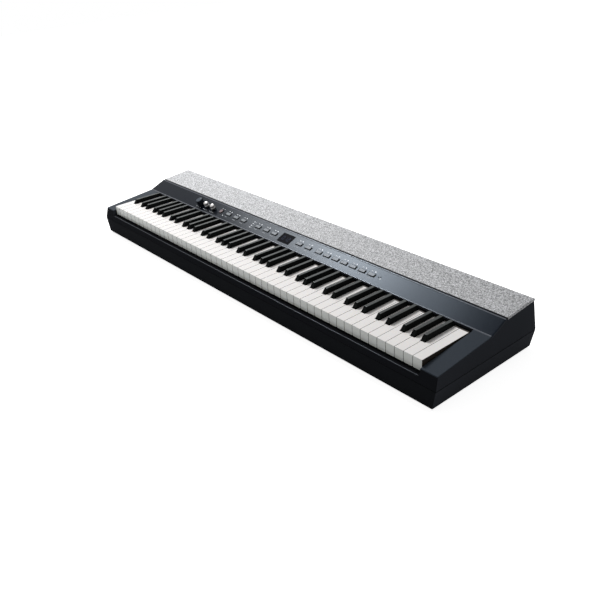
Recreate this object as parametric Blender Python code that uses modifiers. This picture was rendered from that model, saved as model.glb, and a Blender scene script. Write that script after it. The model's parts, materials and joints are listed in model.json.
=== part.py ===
"""Portable digital piano with 88 keys.

X runs along the keys, from the bass at the left to the treble at the right.
Y runs from the player towards the rear, and Z points up.
The origin is the middle of the footprint, on the surface that the feet stand on.
Depths (names with DEPTH or _D) are measured towards the rear from the front of the seam.
Keys are moulded in sets, as C-E-G-B, D-F-A and the five sharps of each octave.
"""

import math

import bmesh
import bpy
from mathutils import Matrix, Vector

MM = 0.001

# Clearances
GAP = 0.3 * MM            # between pieces that touch
OVERRUN = 6 * MM          # how far a cutter passes the surface it cuts

# Case
SEAM_Z = 48 * MM
CHEEK_WIDTH = 44.9 * MM   # beside the key opening, at the seam
FOOT_HEIGHT = 4 * MM      # the case's underside above the ground
BASE_SIDE_INSET = 8.5 * MM
BASE_FRONT_INSET = 1.2 * MM
BASE_REAR_INSET = 2.2 * MM
TOP_SIDE_INSET = 6.5 * MM  # at the height of the cloth's rear edge
CHEEK_FRONT_D = 8.3 * MM
CHEEK_FRONT_DROP = 12.2 * MM  # below the keys
LEDGE_DEPTH = 4.3 * MM    # from the key opening to the bend, where the cheek tops turn up into the panel
LEDGE_RISE = 2.2 * MM     # above the keys
PANEL_RUN = 49.7 * MM     # the panel, measured level, and its rise
PANEL_RISE = 20.8 * MM
CLOTH_RUN = 93.6 * MM
CLOTH_RISE = 8 * MM
REAR_LEAN = 6.4 * MM      # from the cloth's rear edge to the seam behind it
WALL = 3 * MM
LEDGE_WALL = 5 * MM       # under the ledge, which holds the panel's front edge
CASE_EDGE = 2 * MM        # roundness of the case's outer edges

# Keyboard
WHITE_KEYS = 52
OCTAVES = 7
KEY_PITCH = 23.6 * MM
KEY_CREVICE = 1.0 * MM    # between neighbouring white keys
KEY_FRONT_D = 16.5 * MM
KEY_TOP_Z = 90 * MM
KEY_FRONT_HEIGHT = 25 * MM
KEY_LIP = 3 * MM          # thickness of a white key's front
KEY_PLATE = 14 * MM       # thickness of a white key's top
HEAD_LENGTH = 50 * MM     # in front of the sharps
WHITE_LENGTH = 141 * MM   # the part in the opening
SHARP_SETBACK = 52.2 * MM
SHARP_LENGTH = 86.8 * MM
SHARP_HEIGHT = 12 * MM    # above the white keys, at the front
SHARP_REAR_DROP = 1.4 * MM
SHARP_SLOPE = 7 * MM      # length of the sloping front
SHARP_NOSE = 1.5 * MM     # height of the upright below that slope
SHARP_DEPTH = 14 * MM     # below the white keys' tops
SHARP_BASE_WIDTH = 12.2 * MM
SHARP_TOP_WIDTH = 9.6 * MM
SHARP_CREVICE = 0.8 * MM  # between a sharp and the white keys beside it
LEVER_WIDTH = 9 * MM
LEVER_DROP = 14 * MM      # from the white keys' tops to the levers' tops
LEVER_HEIGHT = 8 * MM
LEVER_ROOT = 20 * MM      # where a lever starts under its key
PIVOT_DROP = 16 * MM      # from the levers' tops to the pivots
PIVOT_RADIUS = 4 * MM
PIVOT_ARM = 4 * MM        # thickness of the arm down to the pivot
ARM_CLEARANCE = 0.8 * MM  # between the arm and the saddle it stands over
PIVOT_SETBACK = 57 * MM   # from the white keys' rear ends to the sharps' pivot
PIVOT_SPACING = 12 * MM   # from one set's pivot to the next
OPENING_MARGIN = 3 * MM   # beside the outermost keys
LIP_GAP = 4.5 * MM        # behind the white keys
RAIL_GAP = 2 * MM         # in front of the white keys
RAIL_DROP = 3 * MM        # from the white keys' lower edges to the front rail

# Key bed
BED_MARGIN = 4 * MM       # from the outermost keys to the bed's ends
BED_Z = 22 * MM
BED_FRONT = 12 * MM       # behind the key fronts
STOP_FRONT = 20 * MM
STOP_DEPTH = 24 * MM
STOP_DROP = 28 * MM       # from the white keys' tops to the top of the stop
FELT_THICKNESS = 2.5 * MM
BOARD = 1.6 * MM          # thickness of every circuit board
CONTACT_FRONT = 58 * MM
CONTACT_DEPTH = 64 * MM
CONTACT_DROP = 46 * MM    # from the white keys' tops to the contact board
CONTACT_LEDGE = 4 * MM
CONTACT_STRIP_WIDTH = 12 * MM
CONTACT_STRIP_HEIGHT = 6 * MM

# Control panel: positions along X, and up its slope from the bend
PANEL_THICKNESS = 2.5 * MM
PANEL_SEAM = 0.5 * MM
CONTROL_S = 26 * MM
KNOB_S = 23 * MM
BUTTON_X = [x * MM for x in (-294, -258, -221, -186, -119, -83, -49,
                             53, 88, 127, 157.4, 187.8, 218.2, 248.6, 279, 309.4)]
BUTTON_WIDTH = 19 * MM
BUTTON_DEPTH = 8.6 * MM
ROUND_BUTTON_RADIUS = 6.4 * MM
BUTTON_RISE = 2.2 * MM
BUTTON_TRAVEL = 0.8 * MM
BUTTON_EDGE = 0.7 * MM
BUTTON_FLANGE = 1.2 * MM
KNOB_X = [x * MM for x in (-394, -360.5, -328.5)]
KNOB_RADIUS = [r * MM for r in (10.3, 7.2, 7.2)]
KNOB_HEIGHT = [h * MM for h in (17, 17.5, 17.5)]
KNOB_LIFT = 0.6 * MM
SHAFT_RADIUS = 3 * MM
SHAFT_RISE = 9 * MM
WINDOW_WIDTH = 47 * MM
WINDOW_DEPTH = 31 * MM
WINDOW_THICKNESS = 2 * MM
CONTROL_BOARD_DROP = 9 * MM   # its top below the panel's surface
CONTROL_BOARD_FRONT = 9 * MM
CONTROL_BOARD_REAR = 46 * MM
CONTROL_BOARD_MARGIN = 16 * MM
SWITCH_WIDTH = 6 * MM
PANEL_BOSS_RADIUS = 2.5 * MM

# Grille
CAP_HEIGHT = 4.9 * MM     # of the cloth and its frame together
CLOTH = 1.0 * MM
CAP_GROOVE = 3.2 * MM     # between the panel and the cloth
SPEAKER_X = 480 * MM
SPEAKER_RADIUS = 38 * MM
SPEAKER_RIM = 4 * MM      # of its flange, outside the hole
SPEAKER_DEPTH = 31 * MM
MAGNET_RADIUS = 20 * MM
SLOT_WIDTH = 4 * MM
SLOT_PITCH = 9 * MM
SLOT_COUNT = 8

# Rear sockets: offsets from the plate's middle
SOCKET_PLATE_X = 190 * MM
SOCKET_PLATE_WIDTH = 230 * MM
SOCKET_PLATE_HEIGHT = 24 * MM
SOCKET_PLATE_THICKNESS = 2 * MM
SOCKET_PLATE_RECESS = 1 * MM
SOCKET_Z = 30 * MM
SOCKET_DEPTH = 16 * MM
SOCKET_WALL = 2.6 * MM
SOCKET_BOARD_DEPTH = 42 * MM
ROUND_SOCKETS = [(x * MM, r * MM) for x, r in ((-95, 3.2), (-65, 3.2), (-35, 3.2), (-5, 3.2), (25, 3.2),
                                               (95, 4.0))]
USB_X = 60 * MM
USB_SIZE = 8.4 * MM

# Floor of the case
RIB_X = [x * MM for x in (-560, -340, -110, 120, 320, 560)]
RIB_THICKNESS = 5 * MM
RIB_FRONT_D = 24 * MM
RIB_REAR_INSET = 14 * MM
MAIN_BOARD_X = (-345 * MM, 40 * MM)
MAIN_BOARD_DEPTH = 50 * MM
MAIN_BOARD_INSET = 16 * MM  # from the seam's rear
FOOT_RADIUS = 15 * MM
FOOT_X = 560 * MM
FOOT_Y = 112 * MM
FOOT_EDGE = 1 * MM

# Derived places
KEYS_WIDTH = WHITE_KEYS * KEY_PITCH
KEYS_LEFT = -KEYS_WIDTH / 2
OPENING_HALF = KEYS_WIDTH / 2 + OPENING_MARGIN
CASE_WIDTH = 2 * (OPENING_HALF + CHEEK_WIDTH)
OPENING_REAR_D = KEY_FRONT_D + WHITE_LENGTH + LIP_GAP
BEND_D = OPENING_REAR_D + LEDGE_DEPTH
PANEL_REAR_D = BEND_D + PANEL_RUN
CLOTH_REAR_D = PANEL_REAR_D + CLOTH_RUN
CASE_DEPTH = CLOTH_REAR_D + REAR_LEAN
FRONT_Y = -CASE_DEPTH / 2
KEY_FRONT_Y = FRONT_Y + KEY_FRONT_D
OPENING_REAR_Y = FRONT_Y + OPENING_REAR_D
RAIL_REAR_Y = KEY_FRONT_Y - RAIL_GAP
CHEEK_FRONT_Z = KEY_TOP_Z - CHEEK_FRONT_DROP
BEND_Z = KEY_TOP_Z + LEDGE_RISE
PANEL_REAR_Z = BEND_Z + PANEL_RISE
CLOTH_REAR_Z = PANEL_REAR_Z + CLOTH_RISE
KEY_LOW_Z = KEY_TOP_Z - KEY_FRONT_HEIGHT
RAIL_TOP_Z = KEY_LOW_Z - RAIL_DROP
LEVER_TOP_Z = KEY_TOP_Z - LEVER_DROP
LEVER_BOTTOM_Z = LEVER_TOP_Z - LEVER_HEIGHT
PIVOT_Z = LEVER_TOP_Z - PIVOT_DROP
STOP_TOP_Z = KEY_TOP_Z - STOP_DROP
CONTACT_Z = KEY_TOP_Z - CONTACT_DROP
SHARP_PIVOT = WHITE_LENGTH + PIVOT_SETBACK
PANEL_ANGLE = math.atan2(PANEL_RISE, PANEL_RUN)
PANEL_LENGTH = math.hypot(PANEL_RISE, PANEL_RUN)
CLOTH_ANGLE = math.atan2(CLOTH_RISE, CLOTH_RUN)
SPEAKER_Y = FRONT_Y + (PANEL_REAR_D + CLOTH_REAR_D) / 2
REAR_Y = FRONT_Y + CASE_DEPTH
FLOOR_Z = FOOT_HEIGHT + WALL

# Frames: an outline's plane, as the world directions of its own X, Y and Z
PLAN = Matrix.Identity(4)
SIDE = Matrix(((0, 0, 1, 0), (1, 0, 0, 0), (0, 1, 0, 0), (0, 0, 0, 1)))
FRONT = Matrix(((1, 0, 0, 0), (0, 0, -1, 0), (0, 1, 0, 0), (0, 0, 0, 1)))
REARWARD = Matrix(((-1, 0, 0, 0), (0, 0, 1, 0), (0, 1, 0, 0), (0, 0, 0, 1)))

for old in list(bpy.data.objects):
    bpy.data.objects.remove(old, do_unlink=True)
PARTS = bpy.data.collections.new("digital_piano")
CUTTERS = bpy.data.collections.new("cutters")
bpy.context.scene.collection.children.link(PARTS)
bpy.context.scene.collection.children.link(CUTTERS)


# Materials

def finish(name, colour, roughness, metallic=0.0):
    made = bpy.data.materials.new(name)
    made.use_nodes = True
    shader = made.node_tree.nodes["Principled BSDF"]
    shader.inputs["Base Color"].default_value = (*colour, 1.0)
    shader.inputs["Roughness"].default_value = roughness
    shader.inputs["Metallic"].default_value = metallic
    made.diffuse_color = (*colour, 1.0)
    return made


CASE_BLACK = finish("case_black", (0.012, 0.013, 0.016), 0.5)
CASE_BLUE = finish("case_blue_grey", (0.045, 0.052, 0.065), 0.42)
KEY_WHITE = finish("key_white", (0.86, 0.84, 0.82), 0.3)
KEY_BLACK = finish("key_black", (0.015, 0.016, 0.017), 0.4)
CLOTH_GREY = finish("cloth_silver_grey", (0.45, 0.46, 0.47), 0.95)
BUTTON_GREY = finish("button_grey", (0.10, 0.11, 0.13), 0.45)
CHROME = finish("chrome", (0.85, 0.85, 0.86), 0.15, 1.0)
KNOB_BLACK = finish("knob_black", (0.03, 0.034, 0.04), 0.4)
GLASS_BLACK = finish("window_black", (0.004, 0.004, 0.006), 0.08)
BOARD_GREEN = finish("board_green", (0.02, 0.12, 0.06), 0.5)
INNER_PLASTIC = finish("inner_plastic", (0.06, 0.06, 0.06), 0.6)
FELT_GREY = finish("felt_grey", (0.025, 0.025, 0.028), 0.95)
RUBBER = finish("rubber", (0.02, 0.02, 0.02), 0.9)
PAPER_CONE = finish("speaker_black", (0.02, 0.02, 0.022), 0.7)


# Shapes

def adopt(name, mesh, home=PARTS, material=None):
    made = bpy.data.objects.new(name, mesh)
    home.objects.link(made)
    if home is CUTTERS:
        made.hide_render = True
        made.display_type = "WIRE"
    if material:
        mesh.materials.append(material)
    return made


def closed_mesh(name, build):
    """A mesh from what build adds to an empty bmesh, with its faces pointing out."""
    shape = bmesh.new()
    build(shape)
    bmesh.ops.remove_doubles(shape, verts=shape.verts, dist=1e-6)
    bmesh.ops.recalc_face_normals(shape, faces=shape.faces)
    mesh = bpy.data.meshes.new(name)
    shape.to_mesh(mesh)
    shape.free()
    return mesh


def prism(name, outline, low, high, frame=PLAN, home=PARTS, material=None):
    """A flat outline pulled out from low to high along its frame's Z."""
    curve = bpy.data.curves.new(name, "CURVE")
    curve.dimensions = "2D"
    curve.fill_mode = "BOTH"
    curve.extrude = (high - low) / 2
    spline = curve.splines.new("POLY")
    spline.points.add(len(outline) - 1)
    for point, (u, v) in zip(spline.points, outline):
        point.co = (u, v, 0, 1)
    spline.use_cyclic_u = True
    pattern = bpy.data.objects.new(name + "_outline", curve)
    bpy.context.scene.collection.objects.link(pattern)
    graph = bpy.context.evaluated_depsgraph_get()
    flat = bpy.data.meshes.new_from_object(pattern.evaluated_get(graph))
    flat.transform(frame @ Matrix.Translation((0, 0, (low + high) / 2)))
    bpy.data.objects.remove(pattern, do_unlink=True)
    mesh = closed_mesh(name, lambda shape: shape.from_mesh(flat))
    bpy.data.meshes.remove(flat)
    return adopt(name, mesh, home, material)


def box(name, low, high, frame=PLAN, home=PARTS, material=None):
    low, high = Vector(low), Vector(high)
    place = frame @ Matrix.Translation((low + high) / 2) @ Matrix.Diagonal((*(high - low), 1))
    mesh = closed_mesh(name, lambda shape: bmesh.ops.create_cube(shape, size=1, matrix=place))
    return adopt(name, mesh, home, material)


def rod(name, centre, radius, low, high, sides=24, frame=PLAN, home=PARTS, material=None):
    """A cylinder along its frame's Z, from low to high."""
    place = frame @ Matrix.Translation((centre[0], centre[1], (low + high) / 2))
    mesh = closed_mesh(name, lambda shape: bmesh.ops.create_cone(
        shape, cap_ends=True, segments=sides, radius1=radius, radius2=radius,
        depth=high - low, matrix=place))
    return adopt(name, mesh, home, material)


def turned(name, profile, steps, material=None):
    """A solid of revolution about Z: its profile runs from the axis, down the outside, to the axis."""
    mesh = bpy.data.meshes.new(name)
    shape = bmesh.new()
    points = [shape.verts.new((radius, 0, height)) for radius, height in profile]
    for first, second in zip(points, points[1:]):
        shape.edges.new((first, second))
    shape.to_mesh(mesh)
    shape.free()
    made = adopt(name, mesh, PARTS, material)
    screw = made.modifiers.new("turn", "SCREW")
    screw.axis = "Z"
    screw.steps = steps
    screw.render_steps = steps
    screw.use_merge_vertices = True
    screw.merge_threshold = 0.00001
    screw.use_smooth_shade = True
    return made


def combine(made, other, how="DIFFERENCE"):
    step = made.modifiers.new(how.lower() + "_" + other.name, "BOOLEAN")
    step.operation = how
    step.solver = "EXACT"
    step.object = other
    return made


def round_edges(made, width, segments=2, angle=30):
    step = made.modifiers.new("edges", "BEVEL")
    step.width = width
    step.segments = segments
    step.limit_method = "ANGLE"
    step.angle_limit = math.radians(angle)
    return made


def set_origin(made, place):
    """Moves an object's origin to place and leaves its shape where it is."""
    made.data.transform(Matrix.Translation(-Vector(place)))
    made.location = place
    return made


def line_meet(p, q, r, s):
    """The point where the line p-q meets the line r-s."""
    d1, d2 = Vector(q) - Vector(p), Vector(s) - Vector(r)
    t = (Vector(r) - Vector(p)).cross(d2) / d1.cross(d2)
    return tuple(Vector(p) + t * d1)


def inset(outline, amounts):
    """The outline with each side moved inwards; the outline runs clockwise, and side i starts at point i."""
    count = len(outline)
    sides = []
    for i in range(count):
        start, end = Vector(outline[i]), Vector(outline[(i + 1) % count])
        along = (end - start).normalized()
        shift = Vector((along.y, -along.x)) * amounts[i]
        sides.append((start + shift, end + shift))
    return [line_meet(*sides[i - 1], *sides[i]) for i in range(count)]


# The outer form of the case

def at(depth, height):
    return (FRONT_Y + depth, height)


def half_width(z):
    """Half the upper case's width at a height: its sides lean inwards above the seam."""
    lean = TOP_SIDE_INSET / (CLOTH_REAR_Z - SEAM_Z)
    return CASE_WIDTH / 2 - (z - SEAM_Z) * lean


UPPER_OUTLINE = [at(0, SEAM_Z), at(CHEEK_FRONT_D, CHEEK_FRONT_Z), at(BEND_D, BEND_Z),
                 at(PANEL_REAR_D, PANEL_REAR_Z), at(CLOTH_REAR_D, CLOTH_REAR_Z), at(CASE_DEPTH, SEAM_Z)]


def upper_form(name, insets, side_inset, home, material=None):
    """The upper case's form, with its front, cheek top, panel, cloth, rear and foot moved inwards."""
    made = prism(name, inset(UPPER_OUTLINE, insets), -1, 1, SIDE, home, material)
    for vertex in made.data.vertices:
        reach = half_width(vertex.co.z) - side_inset
        vertex.co.x = math.copysign(reach, vertex.co.x)
    return made


def panel_frame(lift=0.0):
    """The panel's own frame: X along the keys, Y up the slope, Z out of the panel."""
    turn = Matrix.Rotation(PANEL_ANGLE, 4, "X")
    return Matrix.Translation((0, FRONT_Y + BEND_D, BEND_Z)) @ turn @ Matrix.Translation((0, 0, lift))


def cap_frame():
    """The cloth's own frame, from its front edge: Y towards the rear along it, Z out of it."""
    turn = Matrix.Rotation(CLOTH_ANGLE, 4, "X")
    return Matrix.Translation((0, FRONT_Y + PANEL_REAR_D, PANEL_REAR_Z)) @ turn


def cap_slab(name, groove, drop, home):
    """The space of the cloth cap, from its groove rearwards and from drop below the cloth upwards."""
    length = CASE_DEPTH
    return box(name, (-CASE_WIDTH, groove, -drop), (CASE_WIDTH, length, length), cap_frame(), home)


def panel_slab(name, ends, drop, home):
    """The space of the control panel between two places on its slope."""
    rise = BUTTON_RISE + OVERRUN
    return box(name, (-CASE_WIDTH, ends[0], -drop), (CASE_WIDTH, ends[1], rise), panel_frame(), home)


# The cases

def make_bottom_case():
    def tapered(shape):
        bmesh.ops.create_cube(shape, size=1)
        for vertex in shape.verts:
            high = vertex.co.z > 0
            side = CASE_WIDTH / 2 - (0 if high else BASE_SIDE_INSET)
            front = FRONT_Y + (0 if high else BASE_FRONT_INSET)
            rear = REAR_Y - (0 if high else BASE_REAR_INSET)
            vertex.co.x = math.copysign(side, vertex.co.x)
            vertex.co.y = front if vertex.co.y < 0 else rear
            vertex.co.z = SEAM_Z if high else FOOT_HEIGHT

    case = adopt("bottom_case", closed_mesh("bottom_case", tapered), PARTS, CASE_BLACK)
    round_edges(case, CASE_EDGE)
    hollow = adopt("bottom_hollow", closed_mesh("bottom_hollow", tapered), CUTTERS)
    for vertex in hollow.data.vertices:
        vertex.co.x -= math.copysign(WALL, vertex.co.x)
        vertex.co.y -= math.copysign(WALL, vertex.co.y)
        vertex.co.z += OVERRUN if vertex.co.z > FLOOR_Z else WALL
    combine(case, hollow)
    rim = box("bottom_rim", (-CASE_WIDTH, FRONT_Y - OVERRUN, SEAM_Z - GAP),
              (CASE_WIDTH, REAR_Y + OVERRUN, SEAM_Z + OVERRUN), PLAN, CUTTERS)
    combine(case, rim)
    for number, x in enumerate(RIB_X, 1):
        rib = box(f"floor_rib_{number}", (x, FRONT_Y + RIB_FRONT_D, FLOOR_Z - GAP),
                  (x + RIB_THICKNESS, REAR_Y - RIB_REAR_INSET, BED_Z - GAP), PLAN, CUTTERS)
        combine(case, rib, "UNION")
    window = box("socket_window", (SOCKET_PLATE_X - SOCKET_PLATE_WIDTH / 2 - GAP,
                                   REAR_Y - WALL - OVERRUN,
                                   SOCKET_Z - SOCKET_PLATE_HEIGHT / 2 - GAP),
                 (SOCKET_PLATE_X + SOCKET_PLATE_WIDTH / 2 + GAP,
                  REAR_Y + OVERRUN,
                  SOCKET_Z + SOCKET_PLATE_HEIGHT / 2 + GAP), PLAN, CUTTERS)
    combine(case, window)
    return case


def make_top_case():
    case = upper_form("top_case", (0, 0, 0, 0, 0, 0), 0, PARTS, CASE_BLUE)
    round_edges(case, CASE_EDGE)
    panel_wall = PANEL_THICKNESS + GAP + WALL
    cap_wall = CAP_HEIGHT + GAP + WALL
    hollow = upper_form("top_hollow", (WALL, LEDGE_WALL, panel_wall, cap_wall, WALL, -OVERRUN), WALL, CUTTERS)
    for side in (-1, 1):
        near, far = sorted((side * OPENING_HALF, side * (OPENING_HALF + WALL)))
        inner = box(f"cheek_wall_{'left' if side < 0 else 'right'}",
                    (near, FRONT_Y - OVERRUN, SEAM_Z - 2 * OVERRUN),
                    (far, OPENING_REAR_Y, PANEL_REAR_Z), PLAN, CUTTERS)
        combine(hollow, inner)
    rail = box("front_rail_top", (-OPENING_HALF, FRONT_Y - OVERRUN, RAIL_TOP_Z - WALL),
               (OPENING_HALF, RAIL_REAR_Y, PANEL_REAR_Z), PLAN, CUTTERS)
    combine(hollow, rail)
    combine(case, hollow)
    combine(case, panel_slab("panel_seat", (0, PANEL_LENGTH + CAP_GROOVE), PANEL_THICKNESS + GAP, CUTTERS))
    combine(case, cap_slab("cap_seat", 0, CAP_HEIGHT + GAP, CUTTERS))
    combine(case, box("key_opening", (-OPENING_HALF, RAIL_REAR_Y, 0),
                      (OPENING_HALF, OPENING_REAR_Y, CLOTH_REAR_Z), PLAN, CUTTERS))
    combine(case, box("rail_step", (-OPENING_HALF, FRONT_Y - OVERRUN, RAIL_TOP_Z),
                      (OPENING_HALF, OPENING_REAR_Y - WALL, CLOTH_REAR_Z), PLAN, CUTTERS))
    reach = control_board_reach(CONTROL_BOARD_MARGIN / 2)
    combine(case, box("control_opening", (reach[0], CONTROL_BOARD_FRONT - WALL, -panel_wall - OVERRUN),
                      (reach[1], CONTROL_BOARD_REAR + WALL, OVERRUN), panel_frame(), CUTTERS))
    for side in (-1, 1):
        name = "speaker_hole_" + ("left" if side < 0 else "right")
        combine(case, rod(name, (side * SPEAKER_X, speaker_reach()), SPEAKER_RADIUS,
                          -cap_wall - OVERRUN, OVERRUN, 32, cap_frame(), CUTTERS))
    return case


def speaker_reach():
    """How far behind the cloth's front edge the speakers' axes are."""
    return (SPEAKER_Y - FRONT_Y - PANEL_REAR_D) / math.cos(CLOTH_ANGLE)


def control_board_reach(margin=0.0):
    low = KNOB_X[0] - CONTROL_BOARD_MARGIN - margin
    high = BUTTON_X[-1] + CONTROL_BOARD_MARGIN + margin
    return low, high


def make_grille():
    frame = upper_form("grille_frame", (0, 0, 0, CLOTH + GAP, CLOTH + GAP, 0), CLOTH + GAP, PARTS,
                       INNER_PLASTIC)
    combine(frame, cap_slab("frame_space", CAP_GROOVE + CLOTH + GAP, CAP_HEIGHT, CUTTERS), "INTERSECT")
    for side in (-1, 1):
        for number in range(SLOT_COUNT):
            offset = (number - (SLOT_COUNT - 1) / 2) * SLOT_PITCH
            half = math.sqrt((SPEAKER_RADIUS - WALL) ** 2 - offset ** 2)
            low = (side * SPEAKER_X - half, speaker_reach() + offset - SLOT_WIDTH / 2, -CAP_HEIGHT - OVERRUN)
            high = (side * SPEAKER_X + half, speaker_reach() + offset + SLOT_WIDTH / 2, OVERRUN)
            name = f"grille_slot_{'left' if side < 0 else 'right'}_{number + 1}"
            combine(frame, box(name, low, high, cap_frame(), CUTTERS))
    cloth = upper_form("grille_cloth", (0, 0, 0, 0, 0, 0), 0, PARTS, CLOTH_GREY)
    round_edges(cloth, CASE_EDGE)
    combine(cloth, cap_slab("cloth_space", CAP_GROOVE, CAP_HEIGHT, CUTTERS), "INTERSECT")
    room = upper_form("cloth_room", (0, 0, 0, CLOTH, CLOTH, 0), CLOTH, CUTTERS)
    combine(room, cap_slab("room_space", CAP_GROOVE + CLOTH, CAP_HEIGHT + OVERRUN, CUTTERS), "INTERSECT")
    combine(cloth, room)


def make_speakers():
    face = -CAP_HEIGHT - 2 * GAP - WALL
    rim = SPEAKER_RADIUS - SPEAKER_RIM
    flange = SPEAKER_RADIUS + SPEAKER_RIM
    profile = [(0, face - 9 * MM), (9 * MM, face - 11 * MM), (rim, face - 3 * MM),
               (SPEAKER_RADIUS, face - 1.5 * MM), (SPEAKER_RADIUS, face), (flange, face),
               (flange, face - 3 * MM), (rim, face - 5 * MM),
               (MAGNET_RADIUS, face - 17 * MM), (MAGNET_RADIUS, face - SPEAKER_DEPTH),
               (0, face - SPEAKER_DEPTH)]
    for side, name in ((-1, "speaker_left"), (1, "speaker_right")):
        speaker = turned(name, profile, 28, PAPER_CONE)
        speaker.matrix_world = cap_frame() @ Matrix.Translation((side * SPEAKER_X, speaker_reach(), 0))


# The control panel and its controls

def make_control_panel():
    panel = upper_form("control_panel", (0, 0, 0, 0, 0, 0), 0, PARTS, CASE_BLUE)
    round_edges(panel, CASE_EDGE)
    combine(panel, panel_slab("panel_space", (PANEL_SEAM, PANEL_LENGTH - PANEL_SEAM), PANEL_THICKNESS,
                              CUTTERS), "INTERSECT")
    bosses = [(x, s) for x in (KNOB_X[0] + 19 * MM, BUTTON_X[3] + 33 * MM, 34 * MM, BUTTON_X[-1] - 15 * MM)
              for s in (CONTROL_BOARD_FRONT + 4 * MM, CONTROL_BOARD_REAR - 4 * MM)]
    for number, place in enumerate(bosses, 1):
        post = rod(f"panel_boss_{number}", place, PANEL_BOSS_RADIUS, -CONTROL_BOARD_DROP + GAP,
                   -PANEL_THICKNESS / 2, 8, panel_frame(), CUTTERS)
        combine(panel, post, "UNION")
    for number, x in enumerate(BUTTON_X, 1):
        name = f"button_hole_{number:02d}"
        if number == 1:
            hole = rod(name, (x, CONTROL_S), ROUND_BUTTON_RADIUS + GAP, -PANEL_THICKNESS - OVERRUN,
                       OVERRUN, 24, panel_frame(), CUTTERS)
        else:
            hole = box(name, (x - BUTTON_WIDTH / 2 - GAP, CONTROL_S - BUTTON_DEPTH / 2 - GAP,
                              -PANEL_THICKNESS - OVERRUN),
                       (x + BUTTON_WIDTH / 2 + GAP, CONTROL_S + BUTTON_DEPTH / 2 + GAP, OVERRUN),
                       panel_frame(), CUTTERS)
        combine(panel, hole)
    for number, x in enumerate(KNOB_X, 1):
        combine(panel, rod(f"shaft_hole_{number}", (x, KNOB_S), SHAFT_RADIUS + GAP,
                           -PANEL_THICKNESS - OVERRUN, OVERRUN, 20, panel_frame(), CUTTERS))
    combine(panel, box("window_hole", (-WINDOW_WIDTH / 2 - GAP, CONTROL_S - WINDOW_DEPTH / 2 - GAP,
                                       -PANEL_THICKNESS - OVERRUN),
                       (WINDOW_WIDTH / 2 + GAP, CONTROL_S + WINDOW_DEPTH / 2 + GAP, OVERRUN),
                       panel_frame(), CUTTERS))
    return panel


def make_control_board():
    low, high = control_board_reach()
    top = -CONTROL_BOARD_DROP
    board = box("control_board", (low, CONTROL_BOARD_FRONT, top - BOARD),
                (high, CONTROL_BOARD_REAR, top), panel_frame(), PARTS, BOARD_GREEN)
    flange_low = -PANEL_THICKNESS - GAP - BUTTON_FLANGE
    switch_top = flange_low - BUTTON_TRAVEL - GAP
    for number, x in enumerate(BUTTON_X, 1):
        half = SWITCH_WIDTH / 2
        switch = box(f"switch_{number:02d}", (x - half, CONTROL_S - half, top - BOARD / 2),
                     (x + half, CONTROL_S + half, switch_top), panel_frame(), CUTTERS)
        combine(board, switch, "UNION")
    for number, x in enumerate(KNOB_X, 1):
        body = rod(f"pot_body_{number}", (x, KNOB_S), 7 * MM, top - BOARD / 2,
                   -PANEL_THICKNESS - GAP, 20, panel_frame(), CUTTERS)
        combine(board, body, "UNION")
        shaft = rod(f"pot_shaft_{number}", (x, KNOB_S), SHAFT_RADIUS, top / 2,
                    SHAFT_RISE, 20, panel_frame(), CUTTERS)
        combine(board, shaft, "UNION")
    return board


def make_buttons():
    for number, x in enumerate(BUTTON_X, 1):
        name = f"button_{number:02d}"
        flange = (-PANEL_THICKNESS - GAP - BUTTON_FLANGE, -PANEL_THICKNESS - GAP)
        rim = BUTTON_FLANGE
        if number == 1:
            cap = rod(name, (0, 0), ROUND_BUTTON_RADIUS, flange[0], BUTTON_RISE, 24, PLAN, PARTS, BUTTON_GREY)
            foot = rod(name + "_flange", (x, CONTROL_S), ROUND_BUTTON_RADIUS + rim, *flange, 24,
                       panel_frame(), CUTTERS)
        else:
            half_x, half_y = BUTTON_WIDTH / 2, BUTTON_DEPTH / 2
            cap = box(name, (-half_x, -half_y, flange[0]), (half_x, half_y, BUTTON_RISE), PLAN,
                      PARTS, BUTTON_GREY)
            foot = box(name + "_flange", (x - half_x - rim, CONTROL_S - half_y - rim, flange[0]),
                       (x + half_x + rim, CONTROL_S + half_y + rim, flange[1]), panel_frame(), CUTTERS)
        round_edges(cap, BUTTON_EDGE)
        cap.matrix_world = panel_frame() @ Matrix.Translation((x, CONTROL_S, 0))
        combine(cap, foot, "UNION")


def make_knobs():
    names = ("volume_knob", "bass_knob", "treble_knob")
    for name, x, radius, height in zip(names, KNOB_X, KNOB_RADIUS, KNOB_HEIGHT):
        bore, bore_top = SHAFT_RADIUS + GAP, SHAFT_RISE + GAP
        top = KNOB_LIFT + height
        if name == "volume_knob":
            profile = [(0, top), (radius - 1.6 * MM, top), (radius - 0.6 * MM, top - 0.6 * MM),
                       (radius, KNOB_LIFT + 2 * MM), (radius, KNOB_LIFT)]
        else:
            waist = KNOB_LIFT + height * 0.42
            profile = [(0, top), (radius * 0.5, top - 0.7 * MM), (radius * 0.85, top - 2.4 * MM),
                       (radius, top - 5 * MM), (radius * 0.96, waist), (radius * 0.9, waist),
                       (radius * 1.05, KNOB_LIFT)]
        profile += [(bore, KNOB_LIFT), (bore, bore_top), (0, bore_top)]
        knob = turned(name, profile, 32, KNOB_BLACK if name == "volume_knob" else CHROME)
        knob.matrix_world = panel_frame() @ Matrix.Translation((x, KNOB_S, 0))


def make_display():
    half_x, half_y = WINDOW_WIDTH / 2, WINDOW_DEPTH / 2
    box("display_window", (-half_x, CONTROL_S - half_y, -WINDOW_THICKNESS), (half_x, CONTROL_S + half_y, 0),
        panel_frame(), PARTS, GLASS_BLACK)
    rim = 2 * MM
    box("display_module", (-half_x + rim, CONTROL_S - half_y + rim, -CONTROL_BOARD_DROP + GAP),
        (half_x - rim, CONTROL_S + half_y - rim, -WINDOW_THICKNESS - GAP), panel_frame(), PARTS,
        INNER_PLASTIC)


# The keyboard

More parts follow.
